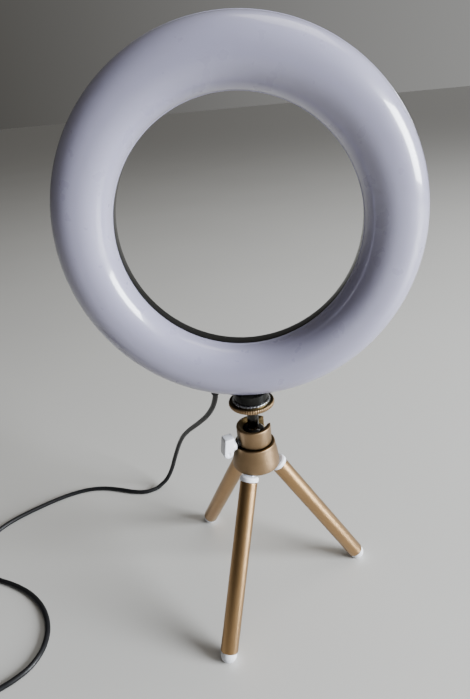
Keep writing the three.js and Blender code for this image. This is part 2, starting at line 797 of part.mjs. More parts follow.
function makeControlRelief(side) {
  const wallIn = CONTROL_LENGTH / 2 - CONTROL_WALL;
  const wallOut = CONTROL_LENGTH / 2 + GAP;
  const body = turned(
    [
      [0, wallIn - 1.1],
      [2.9, wallIn - 1.1],
      [2.9, wallIn - GAP],
      [1.6, wallIn - GAP],
      [1.6, wallOut],
      [3, wallOut],
      [2.1, wallOut + RELIEF_LENGTH],
      [0, wallOut + RELIEF_LENGTH],
    ],
    14,
  );
  const laid = outward(body).translate([0, 0, CONTROL_SPLIT]);
  return controlPlaced(side > 0 ? laid : laid.mirror([1, 0, 0]));
}

const PLUG_X = COIL_X - COIL_OUTSIDE;

// Plug pieces are made along +Y from the moulding's start.
function plugPlaced(solid) {
  return solid.translate([PLUG_X, PLUG_Y, PLUG_HEIGHT / 2]);
}

function makePlugBody() {
  const grip = roundedSlab(PLUG_LENGTH, PLUG_WIDTH, -PLUG_HEIGHT / 2, PLUG_HEIGHT / 2, 2.2);
  const shellRoom = box(
    PLUG_LENGTH / 2 - 5,
    PLUG_LENGTH / 2 + 1,
    -USB_WIDTH / 2 - GAP,
    USB_WIDTH / 2 + GAP,
    -USB_HEIGHT / 2 - GAP,
    USB_HEIGHT / 2 + GAP,
  );
  const laid = cut(grip, shellRoom).rotate([0, 0, 90]).translate([0, PLUG_LENGTH / 2, 0]);
  const relief = cylinder(2.1, -RELIEF_LENGTH, 0.5, 14, 3).rotate([-90, 0, 0]);
  return plugPlaced(laid.add(relief));
}

function makePlugShell() {
  const y0 = PLUG_LENGTH - 4.6;
  const y1 = PLUG_LENGTH + USB_LENGTH - 4.6;
  const x = USB_WIDTH / 2;
  const z = USB_HEIGHT / 2;
  const skin = 0.35;
  const outside = box(-x, x, y0, y1, -z, z);
  const inside = box(-x + skin, x - skin, y0 - 1, y1 + 1, -z + skin, z - skin);
  return plugPlaced(cut(outside, inside));
}

function makePlugTongue() {
  const y0 = PLUG_LENGTH - 4.3;
  const block = box(-5.3, 5.3, y0, y0 + 4.5, -1.6, 1.6);
  const tongue = box(-5.2, 5.2, y0 + 4, y0 + USB_LENGTH - 1.2, 0, 1.5);
  return plugPlaced(block.add(tongue));
}

// ---------- assembly ----------
const ringLight = new THREE.Group();
const assembly = new THREE.Group();
assembly.position.y = AXIS_Y;
ringLight.add(assembly);

const head = new THREE.Group();
head.position.set(0, PARTING_Y, RING_Z);
assembly.add(head);
piece(head, "diffuser", makeDiffuser(), "diffuser");
piece(head, "back_shell", makeBackShell(), "shell");
piece(head, "led_board", makeLedBoard(), "board");
piece(head, "cord_gland", makeGland(), "rubber");
for (let i = 0; i < POST_COUNT; i++) {
  piece(head, `shell_screw_${i + 1}`, makeShellScrew(i), "steel");
}
piece(assembly, "socket_insert", makeInsert(), "brass");

piece(assembly, "ball_stud", makeBallStud(), "darkChrome");
piece(assembly, "platform_disc", makeDisc(), "gold");
piece(assembly, "grip_washer", tubeSolid(9.2, 3.7, DISC_TOP + 0.2, DISC_TOP + 0.8, 24), "steel");
piece(assembly, "ball_cup", makeCup(), "gold");
piece(assembly, "ball_seat", makeSeat(), "nylon");
piece(assembly, "clamp_pad", makeClampPad(), "nylon");
piece(assembly, "clamp_screw", makeClampScrew(), "steel");
piece(assembly, "clamp_knob", makeKnob(), "white");

piece(assembly, "hub_body", makeHub(), "gold");
piece(assembly, "hub_plate", makeHubPlate(), "steel");
piece(assembly, "hub_screw", makeHubScrew(), "steel");
LEG_AZIMUTHS.forEach((azimuth, i) => {
  const leg = new THREE.Group();
  leg.rotation.z = radians(azimuth);
  assembly.add(leg);
  const pin = hingePin(PIN_R, 5.6).translate([PIVOT_R, 0, PIVOT_Z]);
  piece(leg, `hinge_pin_${i + 1}`, pin, "steel");
  piece(leg, `leg_knuckle_${i + 1}`, splayed(makeKnuckle()), "white");
  piece(leg, `leg_tube_${i + 1}`, splayed(makeLegTube()), "gold");
  piece(leg, `leg_foot_${i + 1}`, makeFoot(), "white");
});

piece(assembly, "cord_hanging", cordTube(drawnBack(CORD_HANGING, 0.8), HANGING_STEPS), "cord");
piece(assembly, "cord_on_table", cordTube(CORD_ON_TABLE, TABLE_STEPS), "cord");
piece(assembly, "cord_to_coil", cordTube(CORD_TO_COIL, TO_COIL_STEPS), "cord");
piece(assembly, "cord_coil", makeCoil(), "cord");
piece(assembly, "cord_tie", makeTie(), "rubber");
const tail = [
  [PLUG_X, COIL_Y + COIL_CLEAR, 3.4],
  [PLUG_X, PLUG_Y - RELIEF_LENGTH - GAP, PLUG_HEIGHT / 2],
];
piece(assembly, "cord_tail", cordTube(tail, 2), "cord");

piece(assembly, "controller_bottom", makeControlBottom(), "blackPlastic");
piece(assembly, "controller_top", makeControlTop(), "blackPlastic");
piece(assembly, "controller_board", makeControlBoard(), "board");
for (let i = 0; i < BUTTON_COUNT; i++) {
  piece(assembly, `controller_button_${i + 1}`, makeButton(i), "nylon");
}
piece(assembly, "controller_relief_in", makeControlRelief(1), "rubber");
piece(assembly, "controller_relief_out", makeControlRelief(-1), "rubber");

piece(assembly, "plug_body", makePlugBody(), "blackPlastic");
piece(assembly, "plug_shell", makePlugShell(), "steel");
piece(assembly, "plug_tongue", makePlugTongue(), "board");

export default ringLight;
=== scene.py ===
import json
import math

import bmesh
import bpy
from mathutils import Matrix, Vector

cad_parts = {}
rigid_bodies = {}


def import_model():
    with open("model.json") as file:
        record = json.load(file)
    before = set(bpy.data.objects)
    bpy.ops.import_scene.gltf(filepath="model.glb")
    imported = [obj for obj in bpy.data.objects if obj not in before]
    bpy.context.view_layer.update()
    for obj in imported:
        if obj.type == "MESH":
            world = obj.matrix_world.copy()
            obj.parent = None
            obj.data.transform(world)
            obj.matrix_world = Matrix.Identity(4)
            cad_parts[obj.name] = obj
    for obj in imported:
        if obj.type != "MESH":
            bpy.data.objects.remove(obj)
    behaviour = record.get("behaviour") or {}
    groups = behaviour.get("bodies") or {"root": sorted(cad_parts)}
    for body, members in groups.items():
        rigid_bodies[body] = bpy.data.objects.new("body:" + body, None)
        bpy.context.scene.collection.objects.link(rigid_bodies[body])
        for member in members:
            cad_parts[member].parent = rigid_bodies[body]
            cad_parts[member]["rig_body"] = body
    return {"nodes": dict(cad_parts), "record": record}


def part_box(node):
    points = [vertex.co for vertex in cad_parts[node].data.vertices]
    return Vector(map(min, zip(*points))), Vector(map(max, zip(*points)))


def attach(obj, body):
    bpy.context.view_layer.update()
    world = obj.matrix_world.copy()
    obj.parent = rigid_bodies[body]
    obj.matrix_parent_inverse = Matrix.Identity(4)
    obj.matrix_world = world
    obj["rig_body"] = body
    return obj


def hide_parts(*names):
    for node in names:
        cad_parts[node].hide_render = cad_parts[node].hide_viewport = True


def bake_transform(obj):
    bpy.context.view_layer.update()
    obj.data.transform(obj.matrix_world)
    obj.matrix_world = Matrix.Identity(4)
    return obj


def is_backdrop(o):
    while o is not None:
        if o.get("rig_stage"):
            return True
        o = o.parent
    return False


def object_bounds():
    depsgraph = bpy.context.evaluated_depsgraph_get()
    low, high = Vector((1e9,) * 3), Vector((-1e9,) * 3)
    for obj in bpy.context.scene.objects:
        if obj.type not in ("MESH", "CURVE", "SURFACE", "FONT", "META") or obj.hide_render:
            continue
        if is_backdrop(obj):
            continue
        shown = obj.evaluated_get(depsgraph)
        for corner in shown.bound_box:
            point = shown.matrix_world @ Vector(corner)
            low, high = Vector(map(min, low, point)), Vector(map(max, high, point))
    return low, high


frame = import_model()
CAD_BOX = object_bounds()

# The looks of a ring light on a folding table tripod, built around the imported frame. Shapes are made in
# millimetres about the tripod's axis, as in the CAD model. finished() puts them into the frame in metres.


def middle(node):
    low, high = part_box(node)
    return (low + high) / 2


# ---------- driving sizes, in millimetres about the tripod's axis ----------
MM = 0.001
AXIS = middle("platform_disc")
PLACE = Matrix.Translation((AXIS.x, AXIS.y, 0)) @ Matrix.Diagonal((MM, MM, MM, 1))
GAP = 0.3  # between neighbouring pieces

# turns of what is drawn along +Z
LYING = Matrix.Rotation(math.pi / 2, 4, "X")
OUTWARD = Matrix.Rotation(math.pi / 2, 4, "Y")
OVER = Matrix.Rotation(math.pi, 4, "X")


def about_axis(azimuth):
    return Matrix.Rotation(azimuth, 4, "Z")


def shifted(x, y, z):
    return Matrix.Translation((x, y, z))


RING_Z = middle("diffuser").z / MM
RING_OUTER = (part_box("diffuser")[1].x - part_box("diffuser")[0].x) / 2 / MM
RING_INNER = 54.1
PARTING_Y = -1.5
BULGE = 12.8
BULGE_POWER = 0.87
DIFFUSER_WALL = 1.6
SHELL_DEPTH = 11.5
SHELL_WALL = 1.8
SHELL_DRAFT = 1.3
POST_RADIUS = 73.2
POST_COUNT = 6
FIRST_POST = 30  # degrees
SOCKET_R = 8.9
SOCKET_BOTTOM = 124.4
SOCKET_DEPTH = 4.4
INSERT_R = 4.4
THREAD_R = 3.05
DISC_R = 11.6
DISC_TOP = 123.3
DISC_THICK = 2.4
BALL_Z = 102.2
BALL_R = 6.5
NECK_R = 2.9
CUP_R = 9.0
CUP_TOP = 108.2
CUP_BOTTOM = 98.1
NOTCH_WIDTH = 7.4
NOTCH_AZIMUTH = math.radians(30)
NOTCH_Z = 103.6
MOUTH_RISE = 3.8
HUB_TOP = 97.8
HUB_BOTTOM = 84.4
HUB_R = 12.6
SPIGOT_R = 6.2
CLAMP_Z = 99.4
CLAMP_AZIMUTH = math.radians(206)
CLAMP_BORE_R = 2.2
LEG_AZIMUTHS = [math.radians(a) for a in (-109, 11, 131)]
LEG_SPLAY = math.radians(30.6)
PIVOT_R = 7.5
LEG_LENGTH = 98.2
FOOT_R = 4.2
FOOT_Z = 3.65
FOOT_SHOULDER = 1.5
PIVOT_Z = FOOT_Z + LEG_LENGTH * math.cos(LEG_SPLAY)
LEG_R = 4.6
LEG_WALL = 0.8
PIN_R = 1.0
PIN_HALF = 6.0
TONGUE_HALF = 2.2
TONGUE_THICK = 3.8
EYE_R = 2.9
COLLAR_START = 6.4
COLLAR_THICK = 2.6
CORD_R = 1.5
CORD_LYING_Z = 1.55
CORD_STEP = 2.0
HANG_SPLITS = (0.27, 0.55)  # shares of the hanging stretch that end its first and second pieces
COIL_CENTRE = Vector((-227.5, -58, 0))
COIL_MEAN_R = 16.65
COIL_PITCH = 3.1
COIL_COLUMNS = 4
LAYER_RISE = 3.02
TIE_HALF_WIDTH = 2.4
CONTROL = Vector((-196, -96, 0))
CONTROL_LENGTH = 50.0
CONTROL_WIDTH = 16.0
CONTROL_HEIGHT = 9.6
CONTROL_WALL = 1.5
CONTROL_CORNER = 4.0
BUTTON_PITCH = 10.4
BUTTON_R = 3.2
RELIEF_LENGTH = 7.0
COIL_OUTSIDE = COIL_MEAN_R + (COIL_COLUMNS - 1) / 2 * COIL_PITCH
PLUG = Vector((COIL_CENTRE.x - COIL_OUTSIDE, -27, 3.8))
PLUG_LENGTH = 22.0
PLUG_WIDTH = 14.6
PLUG_HEIGHT = 7.6
USB_HALF_X = 6.0
USB_HALF_Z = 2.25

SLOTS = {part["node"]: part["material_slot"] for part in frame["record"]["subparts"]}
RING_PLACE = shifted(0, PARTING_Y, RING_Z) @ LYING


# ---------- camera, in metres ----------
CAMERA_PLACE = Vector((0.0149, -0.2164, 0.2596))
CAMERA_RIGHT = Vector((0.99507, 0.05217, -0.08440))
CAMERA_UP = Vector((0.05292, 0.44048, 0.89620))
CAMERA_FORWARD = Vector((-0.08393, 0.89625, -0.43555))
LENS = 26.34


def new_object(name, data):
    made = bpy.data.objects.new(name, data)
    bpy.context.scene.collection.objects.link(made)
    return made


def make_camera():
    data = bpy.data.cameras.new("camera")
    data.sensor_width = 36
    data.lens = LENS
    data.clip_start = 0.01
    data.clip_end = 50
    camera = new_object("camera", data)
    turn = Matrix((CAMERA_RIGHT, CAMERA_UP, -CAMERA_FORWARD)).transposed().to_4x4()
    camera.matrix_world = Matrix.Translation(CAMERA_PLACE) @ turn
    bpy.context.scene.camera = camera


make_camera()

# ---------- the cord's route ----------
CORD_HANGING = [
    (-19.4, 10.7, 121.6), (-20.6, 14.2, 115.6), (-23.6, 20.3, 106.4),
    (-29.2, 29.5, 94.8), (-37.4, 41.6, 81.6), (-46.4, 54.2, 68.2),
    (-53.6, 64.8, 55.6), (-59.4, 72.2, 42.6), (-64.4, 77.0, 29.4),
    (-69.2, 79.8, 16.4), (-74.6, 79.8, 6.6), (-81.6, 75.8, 1.9),
]
CORD_ON_TABLE = [
    (-81.6, 75.8, 1.9), (-89.8, 72.6, 1.55), (-99.6, 73.2, 1.55),
    (-110.2, 75.8, 1.55), (-122.6, 77.8, 1.55), (-134.6, 77.0, 1.55),
    (-145.6, 73.2, 1.55), (-155.6, 67.6, 1.55), (-165.0, 61.0, 1.55),
    (-174.0, 53.8, 1.55), (-182.4, 45.8, 1.55), (-188.8, 36.6, 1.55),
    (-192.2, 26.4, 1.55), (-191.6, 15.8, 1.55), (-186.6, 6.4, 1.55),
    (-178.4, -0.6, 1.55), (-167.6, -4.8, 1.55), (-155.8, -8.8, 1.55),
    (-143.8, -14.6, 1.55), (-133.8, -22.2, 1.55), (-126.4, -31.0, 1.55),
    (-122.0, -40.6, 1.55), (-121.0, -50.4, 1.55), (-123.8, -59.6, 1.55),
    (-129.8, -66.6, 1.55), (-137.4, -72.6, 1.55), (-144.4, -79.4, 1.6),
    (-150.6, -87.2, 2.4), (-157.0, -93.4, 4.0), (-162.8, -96.0, 4.8),
]
CORD_TO_COIL = [
    (-228.6, -96.0, 4.8), (-236.2, -94.2, 3.8), (-243.0, -88.6, 2.4),
    (-247.4, -80.6, 1.7), (-248.8, -71.0, 1.55),
]


def smooth_line(points, spacing=CORD_STEP):
    """Points a set distance apart on the Catmull-Rom curve through the given ones."""
    steps = 16
    line = [Vector(p) for p in points]
    line = [2 * line[0] - line[1]] + line + [2 * line[-1] - line[-2]]
    fine = []
    for before, start, end, after in zip(line, line[1:], line[2:], line[3:]):
        for i in range(steps):
            t = i / steps
            straight = 2 * start + (end - before) * t
            bend = (2 * before - 5 * start + 4 * end - after) * t**2
            twist = (3 * start - before - 3 * end + after) * t**3
            fine.append(0.5 * (straight + bend + twist))
    fine.append(line[-2])
    return spaced(fine, spacing)


def length_of(line):
    return sum((b - a).length for a, b in zip(line, line[1:]))


def spaced(line, spacing):
    """The same line in equal steps of about the given length."""
    count = max(2, round(length_of(line) / spacing))
    step = length_of(line) / count
    out, walked, wanted = [line[0].copy()], 0.0, step
    for a, b in zip(line, line[1:]):
        span = (b - a).length
        while len(out) < count and walked + span >= wanted:
            out.append(a.lerp(b, (wanted - walked) / span))
            wanted += step
        walked += span
    out.append(line[-1].copy())
    return out


def smoothstep(t):
    t = min(1.0, max(0.0, t))
    return t * t * (3 - 2 * t)


def coil_line():
    """Eight turns in two layers, wound inwards below and outwards above, clockwise from the left."""
    turns = COIL_COLUMNS * 2
    per_turn = 48
    cross_start, cross_share = 0.72, 0.28  # of a turn, where the cord moves to its next column
    tie_lift, tie_reach, tie_slope = 1.25, 0.2, 0.7  # the hump where the strap passes under the coil
    line = []
    for i in range(turns * per_turn + 1):
        turn = min(i // per_turn, turns - 1)
        part = i / per_turn - turn
        shift = smoothstep((part - cross_start) / cross_share)
        column = layer = 0.0
        for index, weight in ((turn, 1 - shift), (min(turn + 1, turns - 1), shift)):
            low = index < COIL_COLUMNS
            column += weight * (COIL_COLUMNS - 1 - index if low else index - COIL_COLUMNS)
            layer += weight * (0 if low else 1)
        radius = COIL_MEAN_R + (column - (COIL_COLUMNS - 1) / 2) * COIL_PITCH
        angle = math.pi - 2 * math.pi * part
        off_tie = abs(math.atan2(math.sin(angle), math.cos(angle)))
        lift = tie_lift * (1 - smoothstep((off_tie - tie_reach) / tie_slope))
        height = CORD_LYING_Z + layer * LAYER_RISE + lift
        line.append(COIL_CENTRE + Vector((radius * math.cos(angle), radius * math.sin(angle), height)))
    return line


# ---------- shapes ----------
def shape(bm):
    """A scratch object in millimetres. bake() turns it into a finished mesh."""
    bmesh.ops.remove_doubles(bm, verts=bm.verts[:], dist=1e-5)
    bmesh.ops.recalc_face_normals(bm, faces=bm.faces[:])
    if bm.calc_volume(signed=True) < 0:
        bmesh.ops.reverse_faces(bm, faces=bm.faces[:])
    mesh = bpy.data.meshes.new("shape")
    bm.to_mesh(mesh)
    bm.free()
    return new_object("shape", mesh)


def carve(base, *tools, operation="DIFFERENCE"):
    for tool in tools:
        step = base.modifiers.new("carve", "BOOLEAN")
        step.operation = operation
        step.solver = "EXACT"
        step.object = tool
    return base


def weld(base, *tools):
    return carve(base, *tools, operation="UNION")


def soften(base, width, segments, angle):
    step = base.modifiers.new("soften", "BEVEL")
    step.width = width
    step.segments = segments
    step.limit_method = "ANGLE"
    step.angle_limit = math.radians(angle)
    step.miter_outer = "MITER_ARC"
    return base


def bake(base, sharp=32):
    """Applies the modifiers of a scratch shape. Edges sharper than an angle in degrees stay crisp."""
    graph = bpy.context.evaluated_depsgraph_get()
    mesh = bpy.data.meshes.new_from_object(base.evaluated_get(graph), depsgraph=graph)
    for step in base.modifiers:
        if step.type == "BOOLEAN" and step.object:
            tool = step.object
            step.object = None
            bpy.data.objects.remove(tool)
    base.modifiers.clear()
    base.data = mesh
    bm = bmesh.new()
    bm.from_mesh(mesh)
    bmesh.ops.dissolve_degenerate(bm, dist=1e-4, edges=bm.edges[:])
    bmesh.ops.remove_doubles(bm, verts=bm.verts[:], dist=1e-3)
    # the slits that a boolean can leave
    bmesh.ops.holes_fill(bm, edges=[edge for edge in bm.edges if edge.is_boundary], sides=12)
    bm.to_mesh(mesh)
    bm.free()
    mesh.shade_smooth()
    mesh.set_sharp_from_angle(angle=math.radians(sharp))
    return base


def finished(base, name, body, slot, material, *nodes, place=Matrix(), sharp=32):
    """Bakes a shape, puts it into the frame in metres, and says what it is and stands for."""
    bake(base, sharp)
    base.name = name
    base.data.name = name
    base.data.transform(PLACE @ place)
    base.data.materials.clear()
    base.data.materials.append(material)
    if body:
        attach(base, body)
    if nodes:
        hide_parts(*nodes)
    return base


def stand_for(node, base, finish, place=Matrix(), sharp=32):
    """A finer piece in place of one CAD node, on the same body."""
    body = frame["nodes"][node]["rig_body"]
    material = MATERIALS[finish]
    return finished(base, node + "_fine", body, SLOTS[node], material, node, place=place, sharp=sharp)


def keep(node, finish, bevel=0.0):
    """Leaves a CAD node as it is, with its material and slightly broken edges."""
    made = frame["nodes"][node]
    made.data.materials.clear()
    made.data.materials.append(MATERIALS[finish])
    if bevel:
        step = made.modifiers.new("soften", "BEVEL")
        step.width = bevel * MM
        step.segments = 2
        step.limit_method = "ANGLE"
        step.angle_limit = math.radians(40)


def lathe(outline, segments=96, flutes=0, depth=0.0):
    """A turned solid about +Z. The outline runs up the outside as (radius, height) or
    (radius, height, flute), where flute says how much of the flutes' depth that point takes."""
    bm = bmesh.new()
    rings = []
    for point in outline:
        radius, height = point[0], point[1]
        fluted = point[2] if len(point) > 2 else 0
        if radius < 1e-6:
            rings.append([bm.verts.new((0, 0, height))])
            continue
        ring = []
        for k in range(segments):
            angle = 2 * math.pi * k / segments
            r = radius - fluted * depth * (0.5 - 0.5 * math.cos(flutes * angle))
            ring.append(bm.verts.new((r * math.cos(angle), r * math.sin(angle), height)))
        rings.append(ring)
    pairs = list(zip(rings, rings[1:]))
    if len(rings[0]) > 1:
        pairs.append((rings[-1], rings[0]))
    for low, high in pairs:
        for k in range(segments):
            n = (k + 1) % segments
            corners = [low[k % len(low)], low[n % len(low)], high[n % len(high)], high[k % len(high)]]
            corners = list(dict.fromkeys(corners))
            if len(corners) > 2:
                bm.faces.new(corners)
    return shape(bm)


def filleted(corners, steps=4):
    """Rounds each corner of an outline that has a third value, its radius."""
    outline = []
    for i, corner in enumerate(corners):
        here = Vector(corner[:2])
        if len(corner) < 3:
            outline.append(tuple(here))
            continue
        back = Vector(corners[i - 1][:2]) - here
        ahead = Vector(corners[(i + 1) % len(corners)][:2]) - here
        half = back.angle(ahead) / 2
        reach = min(corner[2] / math.tan(half), 0.48 * back.length, 0.48 * ahead.length)
        start = here + back.normalized() * reach
        end = here + ahead.normalized() * reach
        for k in range(steps + 1):
            t = k / steps
            outline.append(tuple(start * (1 - t) ** 2 + here * 2 * t * (1 - t) + end * t**2))
    return outline


def rod(radius, low, high, segments, fillet):
    return lathe(filleted([(0, low), (radius, low, fillet), (radius, high, fillet), (0, high)]), segments)


def plain_rod(radius, low, high, segments=48):
    return lathe([(0, low), (radius, low), (radius, high), (0, high)], segments)


def moved(base, matrix):
    base.data.transform(matrix)
    return base


def block(x0, x1, y0, y1, z0, z1):
    bm = bmesh.new()
    bmesh.ops.create_cube(bm, size=1)
    size = Matrix.Diagonal((x1 - x0, y1 - y0, z1 - z0, 1))
    centre = Matrix.Translation(((x0 + x1) / 2, (y0 + y1) / 2, (z0 + z1) / 2))
    bm.transform(centre @ size)
    return shape(bm)


def slab(outline, z0, z1):
    """A flat outline given depth along +Z."""
    bm = bmesh.new()
    low = [bm.verts.new((x, y, z0)) for x, y in outline]
    high = [bm.verts.new((x, y, z1)) for x, y in outline]
    bm.faces.new(low[::-1])
    bm.faces.new(high)
    for k in range(len(outline)):
        n = (k + 1) % len(outline)
        bm.faces.new((low[k], low[n], high[n], high[k]))
    return shape(bm)


def arc(cx, cy, radius, start, end, steps):
    """Points round a centre, from one angle in degrees to another."""
    points = []
    for k in range(steps + 1):
        angle = math.radians(start + (end - start) * k / steps)
        points.append((cx + radius * math.cos(angle), cy + radius * math.sin(angle)))
    return points


def round_rectangle(length, width, corner):
    x, y = length / 2 - corner, width / 2 - corner
    points = []
    for cx, cy, start in ((x, y, 0), (-x, y, 90), (-x, -y, 180), (x, -y, 270)):
        points += arc(cx, cy, corner, start, start + 90, 8)
    return points


def tube(line, radius):
    """A tube along a line, with its section carried along without twist."""
    sides = 14
    bm = bmesh.new()
    ahead = (line[1] - line[0]).normalized()
    side = ahead.orthogonal().normalized()
    rings = []
    for i, point in enumerate(line):
        a = line[max(0, i - 1)]
        b = line[min(len(line) - 1, i + 1)]
        ahead = (b - a).normalized()
        side = (side - ahead * side.dot(ahead)).normalized()
        other = ahead.cross(side)
        ring = []
        for k in range(sides):
            angle = 2 * math.pi * k / sides
            ring.append(bm.verts.new(point + radius * (math.cos(angle) * side + math.sin(angle) * other)))
        rings.append(ring)
    for low, high in zip(rings, rings[1:]):
        for k in range(sides):
            n = (k + 1) % sides
            bm.faces.new((low[k], low[n], high[n], high[k]))
    bm.faces.new(rings[0][::-1])
    bm.faces.new(rings[-1])
    return shape(bm)


# ---------- materials ----------
def set_inputs(node, **values):
    for name, value in values.items():
        node.inputs[name.replace("_", " ")].default_value = value


class Finish:
    """A principled material in the making, with its noise measured in millimetres."""

    def __init__(self, name, color, roughness, metallic=0.0, **sockets):
        self.material = bpy.data.materials.new(name)
        self.material.use_nodes = True
        self.tree = self.material.node_tree
        self.shader = self.tree.nodes["Principled BSDF"]
        set_inputs(self.shader, Base_Color=(*color, 1), Roughness=roughness, Metallic=metallic, **sockets)
        self.bumps = None

    def node(self, kind, **values):
        made = self.tree.nodes.new(kind)
        for key, value in values.items():
            setattr(made, key, value)
        return made

    def link(self, source, target):
        self.tree.links.new(source, target)

    def noise(self, size, detail=3.0, stretch=(1, 1, 1), seed=0.0):
        """Noise whose lumps are about size millimetres across."""
        place = self.node("ShaderNodeTexCoord")
        scale = self.node("ShaderNodeMapping")
        lumps = [1 / (MM * size * s) for s in stretch]
        set_inputs(scale, Scale=lumps, Location=(seed, seed * 1.7, seed * 0.3))
        made = self.node("ShaderNodeTexNoise")
        set_inputs(made, Scale=1.0, Detail=detail)
        self.link(place.outputs["Object"], scale.inputs["Vector"])
        self.link(scale.outputs["Vector"], made.inputs["Vector"])
        return made.outputs["Fac"]

    def ramp(self, source, low, high, start=0.3, end=0.7):
        made = self.node("ShaderNodeMapRange")
        set_inputs(made, From_Min=start, From_Max=end, To_Min=low, To_Max=high)
        self.link(source, made.inputs["Value"])
        return made.outputs["Result"]

    def blend(self, factor, first, second):
        """Mixes the base colour, where first may be a colour or what colours it so far."""
        made = self.node("ShaderNodeMix", data_type="RGBA")
        if isinstance(first, tuple):
            made.inputs["A"].default_value = (*first, 1)
        else:
            self.link(first, made.inputs["A"])
        made.inputs["B"].default_value = (*second, 1)
        self.link(factor, made.inputs["Factor"])
        return made.outputs["Result"]

    def color(self, output):
        self.link(output, self.shader.inputs["Base Color"])

    def mottle(self, size, first, second, **kind):
        mixed = self.blend(self.ramp(self.noise(size, **kind), 0, 1), first, second)
        self.color(mixed)
        return mixed

    def rough(self, size, low, high, **kind):
        self.link(self.ramp(self.noise(size, **kind), low, high), self.shader.inputs["Roughness"])

    def bump(self, size, height, detail=3.0, stretch=(1, 1, 1), seed=3.0):
        """Height in millimetres. Bumps add up."""
        made = self.node("ShaderNodeBump")
        set_inputs(made, Distance=height * MM, Strength=1.0)
        self.link(self.noise(size, detail, stretch, seed), made.inputs["Height"])
        if self.bumps:
            self.link(self.bumps, made.inputs["Normal"])
        self.bumps = made.outputs["Normal"]
        self.link(self.bumps, self.shader.inputs["Normal"])

    def painted_hollow_shade(self, reach):
        """Mask for painted shade in hollows: 1 deep in a hollow, 0 in the open, looking as far as reach
        millimetres.
        """
        made = self.node("ShaderNodeAmbientOcclusion", samples=8)
        set_inputs(made, Distance=reach * MM)
        return self.ramp(made.outputs["AO"], 1, 0, start=0.5, end=0.95)

    def edges(self):
        """1 on worn outer edges, 0 elsewhere."""
        place = self.node("ShaderNodeNewGeometry")
        return self.ramp(place.outputs["Pointiness"], 0, 1, start=0.52, end=0.6)


def milky_plastic():
    made = Finish(
        "milky_plastic",
        (0.62, 0.61, 0.74),
        0.3,
        IOR=1.5,
        Coat_Weight=1.0,
        Coat_Roughness=0.07,
        Subsurface_Weight=0.18,
        Subsurface_Radius=(0.9, 0.9, 1.0),
        Subsurface_Scale=0.003,
    )
    made.mottle(34, (0.315, 0.302, 0.41), (0.33, 0.317, 0.43), detail=2)
    made.rough(9, 0.26, 0.34)
    made.bump(0.7, 0.0012, detail=2)
    made.bump(24, 0.015, detail=1, seed=8)
    return made.material


def glossy_black():
    made = Finish("glossy_black", (0.006, 0.006, 0.005), 0.14, IOR=1.2)
    mixed = made.mottle(6, (0.003, 0.003, 0.003), (0.006, 0.006, 0.005))
    made.color(made.blend(made.edges(), mixed, (0.016, 0.016, 0.014)))
    made.rough(1.6, 0.12, 0.2)
    made.bump(0.5, 0.0012)
    return made.material


def brighter(color, factor, extra=0.0):
    return tuple(min(1, c * factor + extra) for c in color)


def satin_gold(name, dark, light, low, high, grain, turned=True):
    """Anodised aluminium, bead blasted. Parts turned about the tripod's axis have faint turning marks and
    painted shade in their hollows, where ambient occlusion blends the colour towards a near-black brown."""
    made = Finish(name, light, 0.32, 1.0)
    mixed = made.mottle(7, dark, light, detail=4)
    mixed = made.blend(made.edges(), mixed, brighter(light, 1.35))
    if turned:
        # painted shade: hollows darkened towards a near-black brown, standing in for the shade that falls
        # in them
        mixed = made.blend(made.painted_hollow_shade(16), mixed, (0.06, 0.042, 0.016))
    made.color(mixed)
    made.rough(0.8, low, high, detail=4)
    made.bump(0.16, grain, detail=2)
    if turned:
        made.bump(0.22, 0.0022, detail=2, stretch=(60, 60, 1), seed=5)
    return made.material


def dark_chrome():
    made = Finish("dark_chrome", (0.035, 0.033, 0.03), 0.14, 1.0)
    made.mottle(5, (0.025, 0.024, 0.022), (0.04, 0.038, 0.035))
    made.rough(1.2, 0.1, 0.24)
    made.bump(0.3, 0.0008, stretch=(30, 30, 1))
    return made.material


def steel(name="steel", color=(0.55, 0.55, 0.56)):
    made = Finish(name, color, 0.26, 1.0)
    made.mottle(3, brighter(color, 0.8), color)
    made.rough(0.5, 0.2, 0.38)
    made.bump(0.25, 0.0015, stretch=(1, 1, 8))
    return made.material


def brass():
    made = Finish("brass", (0.62, 0.42, 0.14), 0.3, 1.0)
    made.mottle(2, (0.5, 0.33, 0.1), (0.68, 0.47, 0.17))
    made.rough(0.6, 0.24, 0.42)
    made.bump(0.2, 0.002, stretch=(20, 20, 1))
    return made.material


def moulded(name, dark, light, low, high, grain=0.35, height=0.004, **sockets):
    """Moulded plastic or rubber with a fine spark-eroded grain and slightly lighter edges."""
    made = Finish(name, light, (low + high) / 2, **sockets)
    mixed = made.mottle(5, dark, light)
    made.color(made.blend(made.edges(), mixed, brighter(light, 1.25, 0.01)))
    made.rough(1.1, low, high)
    made.bump(grain, height)
    return made.material


def circuit_board():
    made = Finish("circuit_board", (0.72, 0.72, 0.68), 0.4, Coat_Weight=0.4)
    made.mottle(1.6, (0.66, 0.66, 0.6), (0.78, 0.78, 0.74))
    made.rough(0.8, 0.3, 0.5)
    made.bump(0.5, 0.006)
    return made.material


